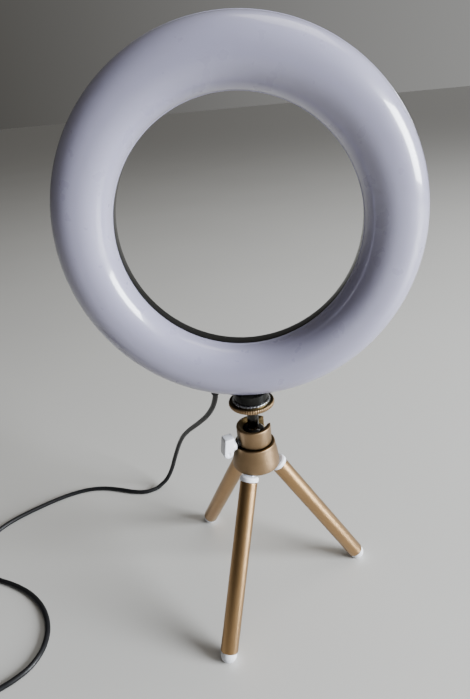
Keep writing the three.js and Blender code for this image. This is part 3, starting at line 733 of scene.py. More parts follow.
def make_materials():
    """The numbers are a dark and a light colour, the lowest and highest roughness, and the grain."""
    return {
        "milk": milky_plastic(),
        "shell": glossy_black(),
        "gold": satin_gold("satin_gold", (0.26, 0.173, 0.095), (0.30, 0.2, 0.112), 0.42, 0.5, 0.0005),
        "leg_gold": satin_gold(
            "leg_gold", (0.38, 0.235, 0.112), (0.41, 0.255, 0.125), 0.31, 0.36, 0.0003, turned=False
        ),
        "chrome": dark_chrome(),
        "steel": steel(),
        # steel painted lighter than plain steel for the grip washer, a lit copy of steel: painted
        # highlight
        "painted_glint_steel": steel("painted_glint_steel", (0.93, 0.94, 0.95)),
        # steel painted dark for the clamp screw, a shaded copy of steel: painted shade
        "painted_shade_steel": steel("painted_shade_steel", (0.09, 0.085, 0.08)),
        "brass": brass(),
        "board": circuit_board(),
        "white": moulded("white_plastic", (0.82, 0.83, 0.90), (0.88, 0.89, 0.95), 0.3, 0.45, 0.4, 0.003),
        "foot": moulded("white_rubber", (0.70, 0.71, 0.76), (0.80, 0.81, 0.85), 0.45, 0.62, 0.3, 0.006),
        "nylon": moulded("nylon", (0.66, 0.63, 0.55), (0.76, 0.73, 0.66), 0.4, 0.55),
        "rubber": moulded(
            "black_rubber", (0.011, 0.011, 0.012), (0.022, 0.022, 0.024), 0.5, 0.7, 0.25, 0.006
        ),
        "cord": moulded(
            "cord_black", (0.003, 0.003, 0.004), (0.006, 0.006, 0.007), 0.36, 0.5, 0.5, 0.005, IOR=1.36
        ),
        "plastic": moulded(
            "black_plastic", (0.010, 0.010, 0.011), (0.02, 0.02, 0.022), 0.36, 0.5, 0.25, 0.008
        ),
        "button": moulded("button_grey", (0.42, 0.42, 0.42), (0.52, 0.52, 0.51), 0.5, 0.65, 0.3, 0.005),
    }


MATERIALS = make_materials()


def cord_piece(name, line, body, *nodes):
    return finished(tube(line, CORD_R), name, body, "cord_black", MATERIALS["cord"], *nodes, sharp=60)


def make_hanging_cord():
    """Three pieces, each listed with the two bodies that one joint connects."""
    whole = smooth_line(CORD_HANGING, 1.5)
    first = round(len(whole) * HANG_SPLITS[0])
    second = round(len(whole) * HANG_SPLITS[1])
    stretches = [
        ("cord_top", whole[: first + 1], "head", "stud"),
        ("cord_middle", whole[first : second + 1], "stud", "seat"),
        ("cord_lower", whole[second:], "seat", "base"),
    ]
    for name, line, above, below in stretches:
        nodes = ["cord_hanging"] if name == "cord_lower" else []
        piece = cord_piece(name, line, None, *nodes)
        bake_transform(piece)


def make_table_cord():
    line = smooth_line(CORD_ON_TABLE)
    piece = cord_piece("cord_table", line, "base", "cord_on_table")


def make_coiled_cord():
    run_in = smooth_line(CORD_TO_COIL)
    turns = coil_line()
    last = turns[-1]
    plug_end = PLUG + Vector((0, -RELIEF_LENGTH - 0.2, 0))
    run_out = smooth_line([last, last.lerp(plug_end, 0.5) + Vector((0, 0, 0.15)), plug_end])
    join = spaced(smooth_line([run_in[-2], run_in[-1], turns[0], turns[1]])[1:-1], CORD_STEP)
    join = [p for p in join if run_in[-1].y <= p.y <= turns[0].y - 1]
    whole = run_in[:-1] + join + turns + run_out[1:]
    piece = cord_piece("cord_coiled", whole, "base", "cord_to_coil", "cord_coil", "cord_tail")


make_hanging_cord()
make_table_cord()

# ---------- light head, about the ring's axis, with +Z to the front ----------
RING_MIDDLE = (RING_OUTER + RING_INNER) / 2
RING_HALF = (RING_OUTER - RING_INNER) / 2


def bulge(inset, steps):
    """Half of a super-ellipse over the ring's width, from the outer edge to the inner one."""
    points = []
    for i in range(steps + 1):
        angle = math.pi * i / steps
        across = math.cos(angle)
        reach = math.copysign(abs(across) ** BULGE_POWER, across) * (RING_HALF - inset)
        forward = max(0.0, math.sin(angle)) ** BULGE_POWER * (BULGE - inset)
        points.append((RING_MIDDLE + reach, forward))
    return points


def post_places():
    for k in range(POST_COUNT):
        angle = math.radians(FIRST_POST + 360 / POST_COUNT * k)
        yield shifted(POST_RADIUS * math.cos(angle), POST_RADIUS * math.sin(angle), 0)


def make_diffuser():
    lip, lip_top, meets = 0.28, 0.85, 1.02
    outside = [p for p in bulge(0, 56) if p[1] > 1.15]
    outer_edge = [(RING_OUTER + lip, 0.0), (RING_OUTER + lip, lip_top), (RING_OUTER - 0.02, meets)]
    inner_edge = [(RING_INNER + 0.02, meets), (RING_INNER - lip, lip_top), (RING_INNER - lip, 0.0)]
    inside = bulge(DIFFUSER_WALL, 24)[::-1]
    skin = lathe(outer_edge + outside + inner_edge + inside, 192)
    post_r, foot, top = 2.1, -9.4, 9.9
    pilot_r, pilot_top = 1.2, -2.9
    for place in post_places():
        post = lathe([(0, foot), (1.9, foot), (post_r, foot + 0.2), (post_r, top), (0, top)], 24)
        weld(skin, moved(post, place))
        carve(skin, moved(plain_rod(pilot_r, foot - 1, pilot_top, 16), place))
    stand_for("diffuser", skin, "milk", RING_PLACE, sharp=28)


def shell_outline():
    """The shell's section: outer wall, back with its shallow band, inner wall, then the inside."""
    outer, inner, back = RING_OUTER, RING_INNER, -SHELL_DEPTH
    band = back + 0.4
    corners = [
        (outer, -GAP, 0.15),
        (outer - 0.03, -1.0, 0.15),
        (outer - 0.5, -1.15, 0.1),
        (outer - 0.5, -1.75, 0.1),
        (outer - 0.12, -1.9, 0.15),
        (outer - SHELL_DRAFT, back, 2.3),
        (outer - 9.4, back, 0.5),
        (outer - 9.9, band, 0.5),
        (inner + 7.6, band, 0.5),
        (inner + 7.1, back, 0.5),
        (inner + SHELL_DRAFT, back, 2.3),
        (inner + 0.16, -1.9, 0.15),
        (inner + 0.55, -1.75, 0.1),
        (inner + 0.55, -1.15, 0.1),
        (inner + 0.05, -1.0, 0.15),
        (inner, -GAP, 0.15),
        (inner + SHELL_WALL, -GAP),
        (inner + SHELL_DRAFT + SHELL_WALL + 1, back + SHELL_WALL, 1),
        (outer - SHELL_DRAFT - SHELL_WALL - 1, back + SHELL_WALL, 1),
        (outer - SHELL_WALL, -GAP),
    ]
    return filleted(corners, 5)


SOCKET_PLACE = RING_PLACE.inverted()
GLAND_START = Vector((-17.6, 5.5, 132))
GLAND_AHEAD = Vector((-0.17, 0.42, -0.89)).normalized()
GLAND_LENGTH = 11.3
GLAND_R = 2.0
GLAND_TURN = Vector((0, 0, 1)).rotation_difference(GLAND_AHEAD).to_matrix().to_4x4()
GLAND_PLACE = Matrix.Translation(GLAND_START) @ GLAND_TURN


def make_back_shell():
    shell = lathe(shell_outline(), 192)
    low, high = SOCKET_BOTTOM, SOCKET_BOTTOM + 12
    foot = lathe(filleted([(0, low), (SOCKET_R, low, 0.7), (SOCKET_R, high), (0, high)], 6), 96)
    moved(foot, SOCKET_PLACE)
    # only what is outside the ring's wall and behind the diffuser stays of the foot
    back, beyond = -SHELL_DEPTH, 30
    cavity = plain_rod(RING_OUTER - SHELL_WALL, back - 10, beyond, 192)
    near, far = RING_INNER - 4.1, RING_OUTER + 0.5
    front = lathe([(near, -GAP), (far, -GAP), (far, beyond), (near, beyond)], 192)
    weld(shell, bake(carve(foot, cavity, front)))
    carve(shell, moved(plain_rod(INSERT_R + GAP, low - 1, low + SOCKET_DEPTH + GAP, 48), SOCKET_PLACE))
    head_r, seat_r, hole_r, hole_top = 2.9, 2.5, 1.3, -7
    outline = [(0, back - 1.5), (head_r, back - 1.5), (head_r, back), (seat_r, back + 0.25)]
    outline += [(seat_r, back + 1), (hole_r, back + 1), (hole_r, hole_top), (0, hole_top)]
    for place in post_places():
        carve(shell, moved(lathe(outline, 32), place))
    carve(shell, moved(plain_rod(GLAND_R + GAP, -6, 6, 32), SOCKET_PLACE @ GLAND_PLACE))
    stand_for("back_shell", shell, "shell", RING_PLACE, sharp=30)


def screw(head_r, shank_r, top, head_height, length):
    """A cross-head screw that points down from its top."""
    pitch = 0.7
    under = top - head_height
    outline = [(0, top), (head_r * 0.7, top), (head_r, top - head_height * 0.45), (head_r, under)]
    outline.append((shank_r, under))
    z = under - 0.3
    while z - pitch > top - length:
        outline += [(shank_r, z), (shank_r * 0.72, z - pitch / 2)]
        z -= pitch
    outline += [(shank_r * 0.7, z), (0, top - length)]
    made = lathe(outline, 32)
    arm, slit = head_r * 0.62, 0.32
    for x, y in ((slit, arm), (arm, slit)):
        carve(made, block(-x, x, -y, y, top - 0.35, top + 1))
    return made


def make_shell_screws():
    for number, place in enumerate(post_places(), 1):
        made = screw(2.1, 0.9, SHELL_DEPTH - 0.1, 0.65, 7.3)
        stand_for(f"shell_screw_{number}", made, "steel", RING_PLACE @ place @ OVER)


def ribbed(start, end, start_r, end_r, ribs):
    """The outline of a tapered relief along +Z, with narrow waists between its ribs."""
    cut = 0.32
    outline = [(0, start), (start_r - 0.2, start), (start_r, start + 0.2)]
    step = (end - start - 1.2) / ribs
    for k in range(ribs):
        low = start + 0.9 + k * step
        for share, waist in ((0.0, 0), (0.12, 1), (0.42, 1), (0.54, 0)):
            z = low + share * step
            outer = start_r + (end_r - start_r) * (z - start) / (end - start)
            outline.append((outer - waist * cut, z))
    outline += [(end_r, end - 0.25), (end_r - 0.25, end), (0, end)]
    return outline


def make_gland():
    inner, start = -4.2, 0.6
    flange = [(0, inner - 0.7), (3.1, inner - 0.7), (3.3, inner - 0.5), (3.3, inner)]
    neck = [(GLAND_R, inner), (GLAND_R, start)]
    relief = lathe(flange + neck + ribbed(start, GLAND_LENGTH, 2.9, 2.2, 7)[1:], 40)
    stand_for("cord_gland", relief, "rubber", GLAND_PLACE)


def make_insert():
    low, high = SOCKET_BOTTOM + 0.2, SOCKET_BOTTOM + SOCKET_DEPTH
    bore, outer, edge, waist = THREAD_R + 0.15, INSERT_R, INSERT_R - 0.2, INSERT_R - 0.3
    outline = [(bore, low), (edge, low), (outer, low + 0.2, 1), (outer, low + 1.7, 1), (waist, low + 1.9)]
    outline += [(waist, low + 2.3), (outer, low + 2.5, 1), (outer, high - 0.2, 1)]
    outline += [(edge, high), (bore, high)]
    stand_for("socket_insert", lathe(outline, 144, 24, 0.25), "brass")


# ---------- ball joint ----------
def threads(radius, low, high, pitch=1.27, depth=0.45):
    """The outline of a thread's flanks. The pitch is that of a 1/4 inch screw unless it is given."""
    outline = []
    z = low
    while z + pitch < high:
        outline += [(radius, z), (radius - depth, z + pitch / 2)]
        z += pitch
    return outline + [(radius, z), (radius, high)]


def make_ball_stud():
    collar = DISC_TOP - DISC_THICK - GAP
    top = SOCKET_BOTTOM + SOCKET_DEPTH - 0.8
    outline = [(0, BALL_Z - BALL_R)]
    reach = math.acos(NECK_R / BALL_R)
    steps = 32
    for k in range(1, steps + 1):
        angle = -math.pi / 2 + (math.pi / 2 + reach) * k / steps
        outline.append((BALL_R * math.cos(angle), BALL_Z + BALL_R * math.sin(angle)))
    neck = [
        (NECK_R, outline[-1][1] + 0.2),
        (NECK_R, collar - 3.6, 1.2),
        (NECK_R + 1.6, collar - 2.5, 0.4),
        (NECK_R + 1.6, collar, 0.25),
        (THREAD_R, collar + 0.05),
    ]
    outline += filleted([(0, BALL_Z)] + neck + [(0, collar)], 5)[1:-1]
    outline += threads(THREAD_R, collar + 0.3, top - 0.7) + [(THREAD_R - 0.6, top), (0, top)]
    stand_for("ball_stud", lathe(outline, 72), "chrome", sharp=40)


def make_disc():
    low, top = DISC_TOP - DISC_THICK, DISC_TOP
    bore = THREAD_R + 0.25
    outline = [
        (bore, low),
        (DISC_R - 0.75, low),
        (DISC_R - 0.4, low + 0.2),
        (DISC_R - 0.02, low + 0.5, 1),
        (DISC_R, low + 0.6, 1),
        (DISC_R, top - 0.6, 1),
        (DISC_R - 0.02, top - 0.5, 1),
        (DISC_R - 0.4, top - 0.16),
        (DISC_R - 0.7, top),
        (DISC_R - 0.95, top),
        (DISC_R - 1.25, top - 0.6),
        (DISC_R - 2.1, top - 0.6),
        (DISC_R - 2.4, top),
        (bore, top),
    ]
    stand_for("platform_disc", lathe(outline, 480, 60, 0.34), "gold", sharp=40)


def make_washer():
    low, high = DISC_TOP + 0.12, DISC_TOP + 0.95
    bore = THREAD_R + 0.65
    outline = [(bore, low), (8.7, low), (9.7, low + 0.15, 1)]
    outline += [(9.75, high - 0.2, 1), (9.3, high), (bore, high)]
    # the washer takes steel painted light, a painted highlight for its silvery glint while the ring
    # shades it
    stand_for("grip_washer", lathe(outline, 360, 36, 0.38), "painted_glint_steel", sharp=20)


CLAMP_PLACE = about_axis(CLAMP_AZIMUTH) @ shifted(0, 0, CLAMP_Z)


def clamp_bore():
    return moved(plain_rod(CLAMP_BORE_R, 2.5, 14, 32), CLAMP_PLACE @ OUTWARD)


def make_cup():
    hollow = BALL_R + GAP
    mouth_r = math.sqrt(hollow**2 - MOUTH_RISE**2)
    pocket = 3.3
    corners = [
        (0, HUB_TOP - 4.9),
        (SPIGOT_R, HUB_TOP - 4.9, 0.3),
        (SPIGOT_R, CUP_BOTTOM),
        (CUP_R, CUP_BOTTOM, 0.45),
        (CUP_R, CUP_TOP, 1.1),
        (CUP_R - 1.35, CUP_TOP, 0.3),
        (mouth_r, BALL_Z + MOUTH_RISE + 0.5),
    ]
    outline = filleted(corners, 5)
    start, end = math.asin(MOUTH_RISE / hollow), -math.acos(pocket / hollow)
    steps = 14
    for k in range(steps + 1):
        angle = start + (end - start) * k / steps
        outline.append((hollow * math.cos(angle), BALL_Z + hollow * math.sin(angle)))
    outline += [(pocket, HUB_TOP - 4.3), (0, HUB_TOP - 4.3)]
    cup = lathe(outline, 96)
    half = NOTCH_WIDTH / 2
    profile = arc(0, 0, half, 180, 360, 20) + [(half, 9), (-half, 9)]
    notch = slab(profile, 2, 12)
    upright = Matrix(((0, 0, 1, 0), (1, 0, 0, 0), (0, 1, 0, NOTCH_Z), (0, 0, 0, 1)))
    moved(notch, about_axis(NOTCH_AZIMUTH) @ upright)
    carve(cup, notch, clamp_bore())
    stand_for("ball_cup", soften(cup, 0.14, 2, 50), "gold", sharp=35)


def make_clamp_screw():
    outline = [(0, 8.3), (1.5, 8.3)] + threads(1.9, 8.6, 15.6, 0.8, 0.32) + [(1.5, 16), (0, 16)]
    # the screw takes steel painted dark, painted shade for the shade it sits in beside the cup
    stand_for("clamp_screw", lathe(outline, 40), "painted_shade_steel", CLAMP_PLACE @ OUTWARD)


def make_knob():
    """An upright paddle drawn with x outwards from the tripod's axis and y upwards."""
    start, end, height, thick = 11.9, 17.3, 11.4, 6.0
    round_r = 2.7
    dimple_x = (start + end) / 2 + 1.3
    low = round_r - height / 2
    outline = [(end, height / 2), (start, height / 2)] + arc(dimple_x, low, round_r, 180, 360, 24)
    paddle = soften(slab(outline, -thick / 2, thick / 2), 0.75, 5, 40)
    bake(paddle)
    for side in (-1, 1):
        dimple = lathe([(0, -0.32), (0.5, -0.3), (0.95, -0.12), (1.15, 0.05), (1.15, 1), (0, 1)], 32)
        face = Matrix.Translation((dimple_x, low + 0.1, side * thick / 2))
        carve(paddle, moved(dimple, face if side > 0 else face @ OVER))
    boss = lathe(filleted([(0, 11), (2.7, 11, 0.25), (3.1, 12.9), (0, 12.9)]), 48)
    weld(paddle, moved(boss, OUTWARD))
    carve(paddle, moved(plain_rod(2.15, 10, 16.5, 40), OUTWARD))
    stand_for("clamp_knob", paddle, "white", CLAMP_PLACE @ LYING)


# ---------- tripod ----------
def leg_place(azimuth):
    """From a leg along -Z, with its pin at the origin, to its place in the tripod."""
    return about_axis(azimuth) @ shifted(PIVOT_R, 0, PIVOT_Z) @ Matrix.Rotation(-LEG_SPLAY, 4, "Y")


def make_hub():
    low, top = HUB_BOTTOM, HUB_TOP
    corners = [
        (0, low + 1.9),
        (HUB_R - 1.6, low + 1.9),
        (HUB_R - 1.6, low, 0.15),
        (HUB_R - 0.05, low, 0.5),
        (HUB_R, low + 0.6),
        (HUB_R - 0.3, low + 3.6),
        (HUB_R - 0.9, low + 7.6),
        (HUB_R - 1.7, low + 11.6, 2),
        (HUB_R - 1.95, top, 0.5),
        (CUP_R + 0.35, top, 0.2),
        (CUP_R + 0.15, top - 0.45),
        (SPIGOT_R + GAP, top - 0.45),
        (SPIGOT_R + GAP, top - 5.2),
        (0, top - 5.2),
    ]
    hub = lathe(filleted(corners, 6), 120)
    side = TONGUE_HALF + GAP
    room = EYE_R + 0.4
    bar_half = TONGUE_THICK / 2 + 0.35
    pin_r, pin_end = PIN_R + 0.1, PIN_HALF + 0.02
    for azimuth in LEG_AZIMUTHS:
        slot = block(PIVOT_R - room, PIVOT_R + room, -side, side, HUB_BOTTOM - 1, PIVOT_Z + room)
        bar = moved(block(-bar_half, bar_half, 0.05 - side, side - 0.05, -9, 0), leg_place(0))
        pin = moved(plain_rod(pin_r, -PIN_HALF, PIN_HALF, 24), shifted(PIVOT_R, 0, PIVOT_Z) @ LYING)
        way = block(PIVOT_R - pin_r, PIVOT_R + pin_r, -pin_end, pin_end, HUB_BOTTOM, PIVOT_Z)
        carve(hub, *(moved(tool, about_axis(azimuth)) for tool in (slot, bar, pin, way)))
    carve(hub, clamp_bore())
    carve(hub, plain_rod(1.3, HUB_BOTTOM, HUB_BOTTOM + 6.6, 24))
    stand_for("hub_body", soften(hub, 0.12, 2, 50), "gold", sharp=35)


def make_knuckle(number, azimuth):
    half, bar_half = TONGUE_HALF, TONGUE_THICK / 2
    end = -COLLAR_START - COLLAR_THICK
    plug_r = LEG_R - LEG_WALL - GAP
    corners = [
        (0, end - 8),
        (plug_r, end - 8, 0.4),
        (plug_r, end),
        (LEG_R + 0.3, end, 0.35),
        (LEG_R + 0.3, -COLLAR_START - 0.55, 0.5),
        (LEG_R - 0.6, -COLLAR_START, 0.4),
        (0, -COLLAR_START),
    ]
    body = lathe(filleted(corners, 5), 72)
    bar = block(-bar_half, bar_half, -half, half, -COLLAR_START - 0.5, 0)
    eye = moved(rod(EYE_R, -half, half, 40, 0.3), LYING)
    weld(body, bar, eye)
    carve(body, moved(plain_rod(PIN_R + GAP, -PIN_HALF, PIN_HALF, 24), LYING))
    stand_for(f"leg_knuckle_{number}", body, "white", leg_place(azimuth))


def make_leg_tube(number, azimuth):
    top = -COLLAR_START - COLLAR_THICK - GAP
    bottom = -LEG_LENGTH + FOOT_SHOULDER + GAP
    inner = LEG_R - LEG_WALL
    corners = [(inner, bottom, 0.1), (LEG_R, bottom, 0.35), (LEG_R, top, 0.35), (inner, top, 0.1)]
    stand_for(f"leg_tube_{number}", lathe(filleted(corners, 5), 72), "leg_gold", leg_place(azimuth))


def make_foot(number, azimuth):
    shoulder = -LEG_LENGTH + FOOT_SHOULDER
    plug_r = LEG_R - LEG_WALL - GAP
    outline = [(0, -LEG_LENGTH - FOOT_R)]
    steps = 16
    for k in range(1, steps + 1):
        angle = -math.pi / 2 + math.pi / 2 * k / steps
        outline.append((FOOT_R * math.cos(angle), -LEG_LENGTH + FOOT_R * math.sin(angle)))
    outline += [(FOOT_R, shoulder - 0.3), (FOOT_R - 0.3, shoulder), (plug_r, shoulder)]
    for k in range(3):
        z = shoulder + 1 + 2 * k
        outline += [(plug_r, z), (plug_r - 0.3, z + 0.2), (plug_r - 0.3, z + 0.8), (plug_r, z + 1)]
    outline += [(plug_r - 0.4, shoulder + 8), (0, shoulder + 8)]
    foot = moved(lathe(outline, 60), leg_place(0))
    below_table = block(20, 90, -20, 20, -10, 0)
    carve(foot, below_table)
    soften(foot, 0.18, 3, 25)
    stand_for(f"leg_foot_{number}", foot, "foot", about_axis(azimuth), sharp=40)


def make_hub_screw():
    stand_for("hub_screw", screw(2.3, 1.0, -HUB_BOTTOM + 1.3, 1.2, 7.5), "steel", OVER)


# ---------- controller and plug ----------
SPLIT = CONTROL_HEIGHT * 0.5
CONTROL_PLACE = Matrix.Translation(CONTROL)


def button_place(index):
    return shifted((index - 1.5) * BUTTON_PITCH, 0, 0)


def control_shell(z0, z1, cavity0, cavity1):
    """The outside of one half of the controller, and the cavity to cut out of it."""
    outside = round_rectangle(CONTROL_LENGTH, CONTROL_WIDTH, CONTROL_CORNER)
    length, width = CONTROL_LENGTH - 2 * CONTROL_WALL, CONTROL_WIDTH - 2 * CONTROL_WALL
    inside = round_rectangle(length, width, CONTROL_CORNER - CONTROL_WALL)
    return slab(outside, z0, z1), slab(inside, cavity0, cavity1)


def cord_room():
    reach = CONTROL_LENGTH / 2 + 2
    return moved(plain_rod(CORD_R + 0.4, -reach, reach, 32), shifted(0, 0, SPLIT) @ OUTWARD)


def round_rim(base, z, width):
    """Rounds only the edges that lie flat at one height."""
    weights = base.data.attributes.new("bevel_weight_edge", "FLOAT", "EDGE")
    for edge in base.data.edges:
        heights = [base.data.vertices[v].co.z for v in edge.vertices]
        weights.data[edge.index].value = 1.0 if all(abs(h - z) < 0.01 for h in heights) else 0.0
    step = base.modifiers.new("round", "BEVEL")
    step.width = width
    step.segments = 6
    step.limit_method = "WEIGHT"
    return bake(base)


def make_controller():
    outside, inside = control_shell(0, SPLIT, CONTROL_WALL, SPLIT + 1)
    bottom = carve(round_rim(outside, 0, 1.4), inside, cord_room())
    stand_for("controller_bottom", soften(bottom, 0.15, 2, 50), "plastic", CONTROL_PLACE)
    outside, inside = control_shell(
        SPLIT + 0.1, CONTROL_HEIGHT, SPLIT - 1, CONTROL_HEIGHT - CONTROL_WALL
    )
    top = carve(round_rim(outside, CONTROL_HEIGHT, 1.6), inside, cord_room())
    for k in range(4):
        hole = plain_rod(BUTTON_R + GAP, CONTROL_HEIGHT - 3, CONTROL_HEIGHT + 1, 40)
        carve(top, moved(hole, button_place(k)))
    stand_for("controller_top", soften(top, 0.15, 2, 50), "plastic", CONTROL_PLACE)


def icon(kind, z):
    """Cutting shapes of a generic key mark: power, plus, minus or colour."""
    deep = (z, z + 1)
    arm, half = 1.3, 0.22
    if kind == "minus":
        return [block(-arm, arm, -half, half, *deep)]
    if kind == "plus":
        return [block(-arm, arm, -half, half, *deep), block(-half, half, -arm, arm, *deep)]
    if kind == "power":
        ring = arc(0, 0, 1.4, 125, 415, 24) + arc(0, 0, 0.98, 55, -235, 24)
        return [slab(ring, *deep), block(-half, half, 0.2, 1.6, *deep)]
    return [slab(arc(0, 0, arm, 90, 270, 20), *deep), block(0.25, 0.7, -1.1, 1.1, *deep)]


def make_buttons():
    top = CONTROL_HEIGHT + 0.7
    flange_r, bottom, ledge = BUTTON_R + 0.9, CONTROL_HEIGHT - 2.7, CONTROL_HEIGHT - 1.8
    corners = [
        (0, bottom),
        (BUTTON_R, bottom),
        (flange_r, CONTROL_HEIGHT - 2.6),
        (flange_r, ledge),
        (BUTTON_R, ledge),
        (BUTTON_R - 0.2, top, 0.5),
        (BUTTON_R - 1.2, top - 0.12, 1),
        (0, top - 0.2),
    ]
    for k, kind in enumerate(("power", "colour", "plus", "minus")):
        cap = lathe(filleted(corners, 5), 64)
        carve(cap, *icon(kind, top - 0.42))
        stand_for(f"controller_button_{k + 1}", cap, "button", CONTROL_PLACE @ button_place(k))


def make_control_reliefs():
    wall_in = CONTROL_LENGTH / 2 - CONTROL_WALL
    wall_out = CONTROL_LENGTH / 2 + GAP
    flange_r, neck_r = 2.9, 1.6
    inner = [(0, wall_in - 1.1), (flange_r, wall_in - 1.1), (flange_r, wall_in - GAP)]
    inner += [(neck_r, wall_in - GAP), (neck_r, wall_out)]
    # the first relief is longer, to meet the cord where the CAD model's cord ends
    for name, turn, extra in (("controller_relief_in", 0, 0.6), ("controller_relief_out", math.pi, 0)):
        end = wall_out + RELIEF_LENGTH + extra
        outline = inner + ribbed(wall_out, end, 3, 2.1, 4)[1:]
        place = CONTROL_PLACE @ about_axis(turn) @ shifted(0, 0, SPLIT) @ OUTWARD
        stand_for(name, lathe(outline, 40), "rubber", place)


def make_tie():
    room, thick = 0.45, 0.8
    wide = (COIL_COLUMNS - 1) * COIL_PITCH + 2 * CORD_R + 2 * room
    low, high = 1.3 - room, 7.3 + room
    tall = high - low
    outer = round_rectangle(wide + 2 * thick, tall + 2 * thick, 2.2)
    strap = slab(outer, -TIE_HALF_WIDTH, TIE_HALF_WIDTH)
    carve(strap, slab(round_rectangle(wide, tall, 1.5), -4, 4))
    buckle = block(-3.4, 3.4, tall / 2 + 0.3, tall / 2 + 1.7, -TIE_HALF_WIDTH, TIE_HALF_WIDTH)
    weld(strap, buckle)
    place = Matrix.Translation(COIL_CENTRE + Vector((COIL_MEAN_R, 0, (low + high) / 2))) @ LYING
    stand_for("cord_tie", soften(strap, 0.3, 3, 40), "rubber", place)


PLUG_PLACE = Matrix.Translation(PLUG)


def make_plug():
    outline = round_rectangle(PLUG_WIDTH, PLUG_LENGTH, 2.2)
    half = PLUG_HEIGHT / 2
    body = slab([(x, y + PLUG_LENGTH / 2) for x, y in outline], -half, half)
    bake(soften(body, 1.1, 5, 60))
    for side in (-1, 1):
        for k in range(4):
            y = 5 + 2.4 * k
            groove = block(-4.6, 4.6, y, y + 1.1, side * half - 0.35, side * half + 0.35)
            carve(body, groove)
    mouth_x, mouth_z = USB_HALF_X + GAP, USB_HALF_Z + GAP
    carve(body, block(-mouth_x, mouth_x, PLUG_LENGTH - 5, PLUG_LENGTH + 1, -mouth_z, mouth_z))
    relief = lathe(ribbed(-0.5, RELIEF_LENGTH, 3, 2.1, 4), 40)
    weld(body, moved(relief, LYING))
    stand_for("plug_body", soften(body, 0.12, 2, 60), "plastic", PLUG_PLACE)


def make_plug_shell():
    y0, y1 = PLUG_LENGTH - 4.6, PLUG_LENGTH + 13.9
    x, z, skin = USB_HALF_X, USB_HALF_Z, 0.35
    inside = block(skin - x, x - skin, y0 - 1, y1 + 1, skin - z, z - skin)
    shell = carve(block(-x, x, y0, y1, -z, z), inside)
    for face in (-z, z):
        for across in (-2.9, 2.9):
            window = block(across - 1.1, across + 1.1, y0 + 9.2, y0 + 11.5, face - 0.6, face + 0.6)
            carve(shell, window)
    stand_for("plug_shell", soften(shell, 0.12, 2, 60), "steel", PLUG_PLACE)


def make_plug_tongue():
    y0 = PLUG_LENGTH - 4.3
    tongue = weld(block(-5.3, 5.3, y0, y0 + 4.5, -1.6, 1.6), block(-5.2, 5.2, y0 + 4, y0 + 17.3, 0, 1.5))
    for across in (-3.5, -1.0, 1.0, 3.5):
        carve(tongue, block(across - 0.5, across + 0.5, y0 + 8, y0 + 16.4, -0.5, 0.18))
    stand_for("plug_tongue", soften(tongue, 0.1, 2, 60), "nylon", PLUG_PLACE)


make_diffuser()
make_back_shell()
make_shell_screws()
make_gland()
make_insert()
make_ball_stud()
make_disc()
make_washer()
make_cup()
make_clamp_screw()
make_knob()
make_hub()
make_hub_screw()
for number, azimuth in enumerate(LEG_AZIMUTHS, 1):
    make_knuckle(number, azimuth)
    make_leg_tube(number, azimuth)
    make_foot(number, azimuth)
make_controller()
make_buttons()
make_control_reliefs()
make_tie()
make_plug()
make_plug_shell()
make_plug_tongue()
keep("led_board", "board")
keep("controller_board", "board", 0.1)
keep("ball_seat", "nylon", 0.15)
keep("clamp_pad", "nylon", 0.1)
keep("hub_plate", "steel", 0.15)
for number in (1, 2, 3):
    keep(f"hinge_pin_{number}", "steel", 0.15)

make_coiled_cord()


# ---------- stage and light, in metres ----------
FLOOR_HALF = 24
LIT_MIDDLE = Vector((0, 0, 0.14))
WINDOW = Vector((1.55, -0.5, 0.6))
WINDOW_COLOR = (0.90, 0.95, 1)
WINDOW_POWER = 102
CEILING = Vector((0.6, 0.3, 1.8))
CEILING_COLOR = (1, 0.98, 0.94)
CEILING_POWER = 8
ROOM_DARK = (0.075, 0.07, 0.06, 1)
ROOM_LIGHT = (0.62, 0.62, 0.61, 1)
ROOM_STRENGTH = 0.62


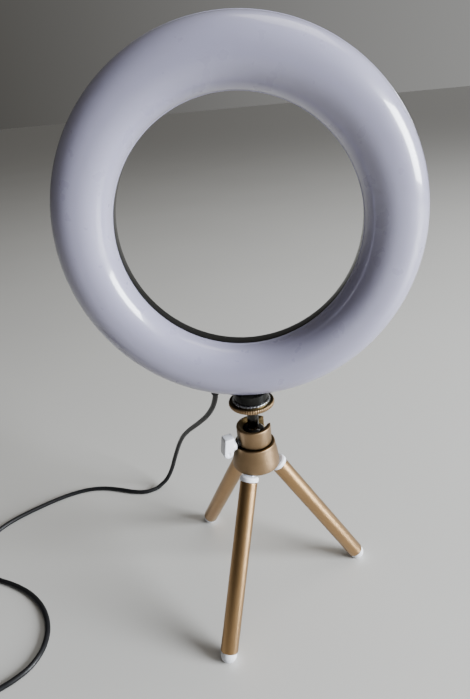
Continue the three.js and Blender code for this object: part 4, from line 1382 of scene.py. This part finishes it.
def make_stage():
    bm = bmesh.new()
    bmesh.ops.create_grid(bm, x_segments=1, y_segments=1, size=FLOOR_HALF)
    mesh = bpy.data.meshes.new("floor")
    bm.to_mesh(mesh)
    bm.free()
    floor = new_object("floor", mesh)
    made = Finish("pale_desk", (0.62, 0.62, 0.60), 0.3, Specular_IOR_Level=0.5)
    made.mottle(300, (0.575, 0.56, 0.53), (0.595, 0.58, 0.55), detail=2)
    made.rough(300, 0.29, 0.31)
    floor.data.materials.append(made.material)
    floor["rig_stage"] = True


def area_light(name, place, size, power, color):
    """A square light that points at the middle of the object."""
    data = bpy.data.lights.new(name, "AREA")
    data.shape = "SQUARE"
    data.size = size
    data.energy = power
    data.color = color
    light = new_object(name, data)
    light.location = place
    light.rotation_mode = "QUATERNION"
    light.rotation_quaternion = (LIT_MIDDLE - place).to_track_quat("-Z", "Y")


def make_room():
    """Surroundings that are dark on the left and light on the right."""
    world = bpy.data.worlds.new("room")
    world.use_nodes = True
    tree = world.node_tree
    place = tree.nodes.new("ShaderNodeTexCoord")
    split = tree.nodes.new("ShaderNodeSeparateXYZ")
    side = tree.nodes.new("ShaderNodeMapRange")
    set_inputs(side, From_Min=-0.8, From_Max=0.9)
    side.interpolation_type = "SMOOTHSTEP"
    mixed = tree.nodes.new("ShaderNodeMix")
    mixed.data_type = "RGBA"
    set_inputs(mixed, A=ROOM_DARK, B=ROOM_LIGHT)
    tree.links.new(place.outputs["Generated"], split.inputs["Vector"])
    tree.links.new(split.outputs["X"], side.inputs["Value"])
    tree.links.new(side.outputs["Result"], mixed.inputs["Factor"])
    tree.links.new(mixed.outputs["Result"], tree.nodes["Background"].inputs["Color"])
    set_inputs(tree.nodes["Background"], Strength=ROOM_STRENGTH)
    bpy.context.scene.world = world


make_stage()
area_light("window", WINDOW, 0.8, WINDOW_POWER, WINDOW_COLOR)
area_light("ceiling", CEILING, 1.0, CEILING_POWER, CEILING_COLOR)
make_room()


# ---------- end ----------
def write_sizes():
    boxes = {"cad": CAD_BOX, "visual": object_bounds()}
    boxes = {name: [list(corner) for corner in box] for name, box in boxes.items()}


write_sizes()
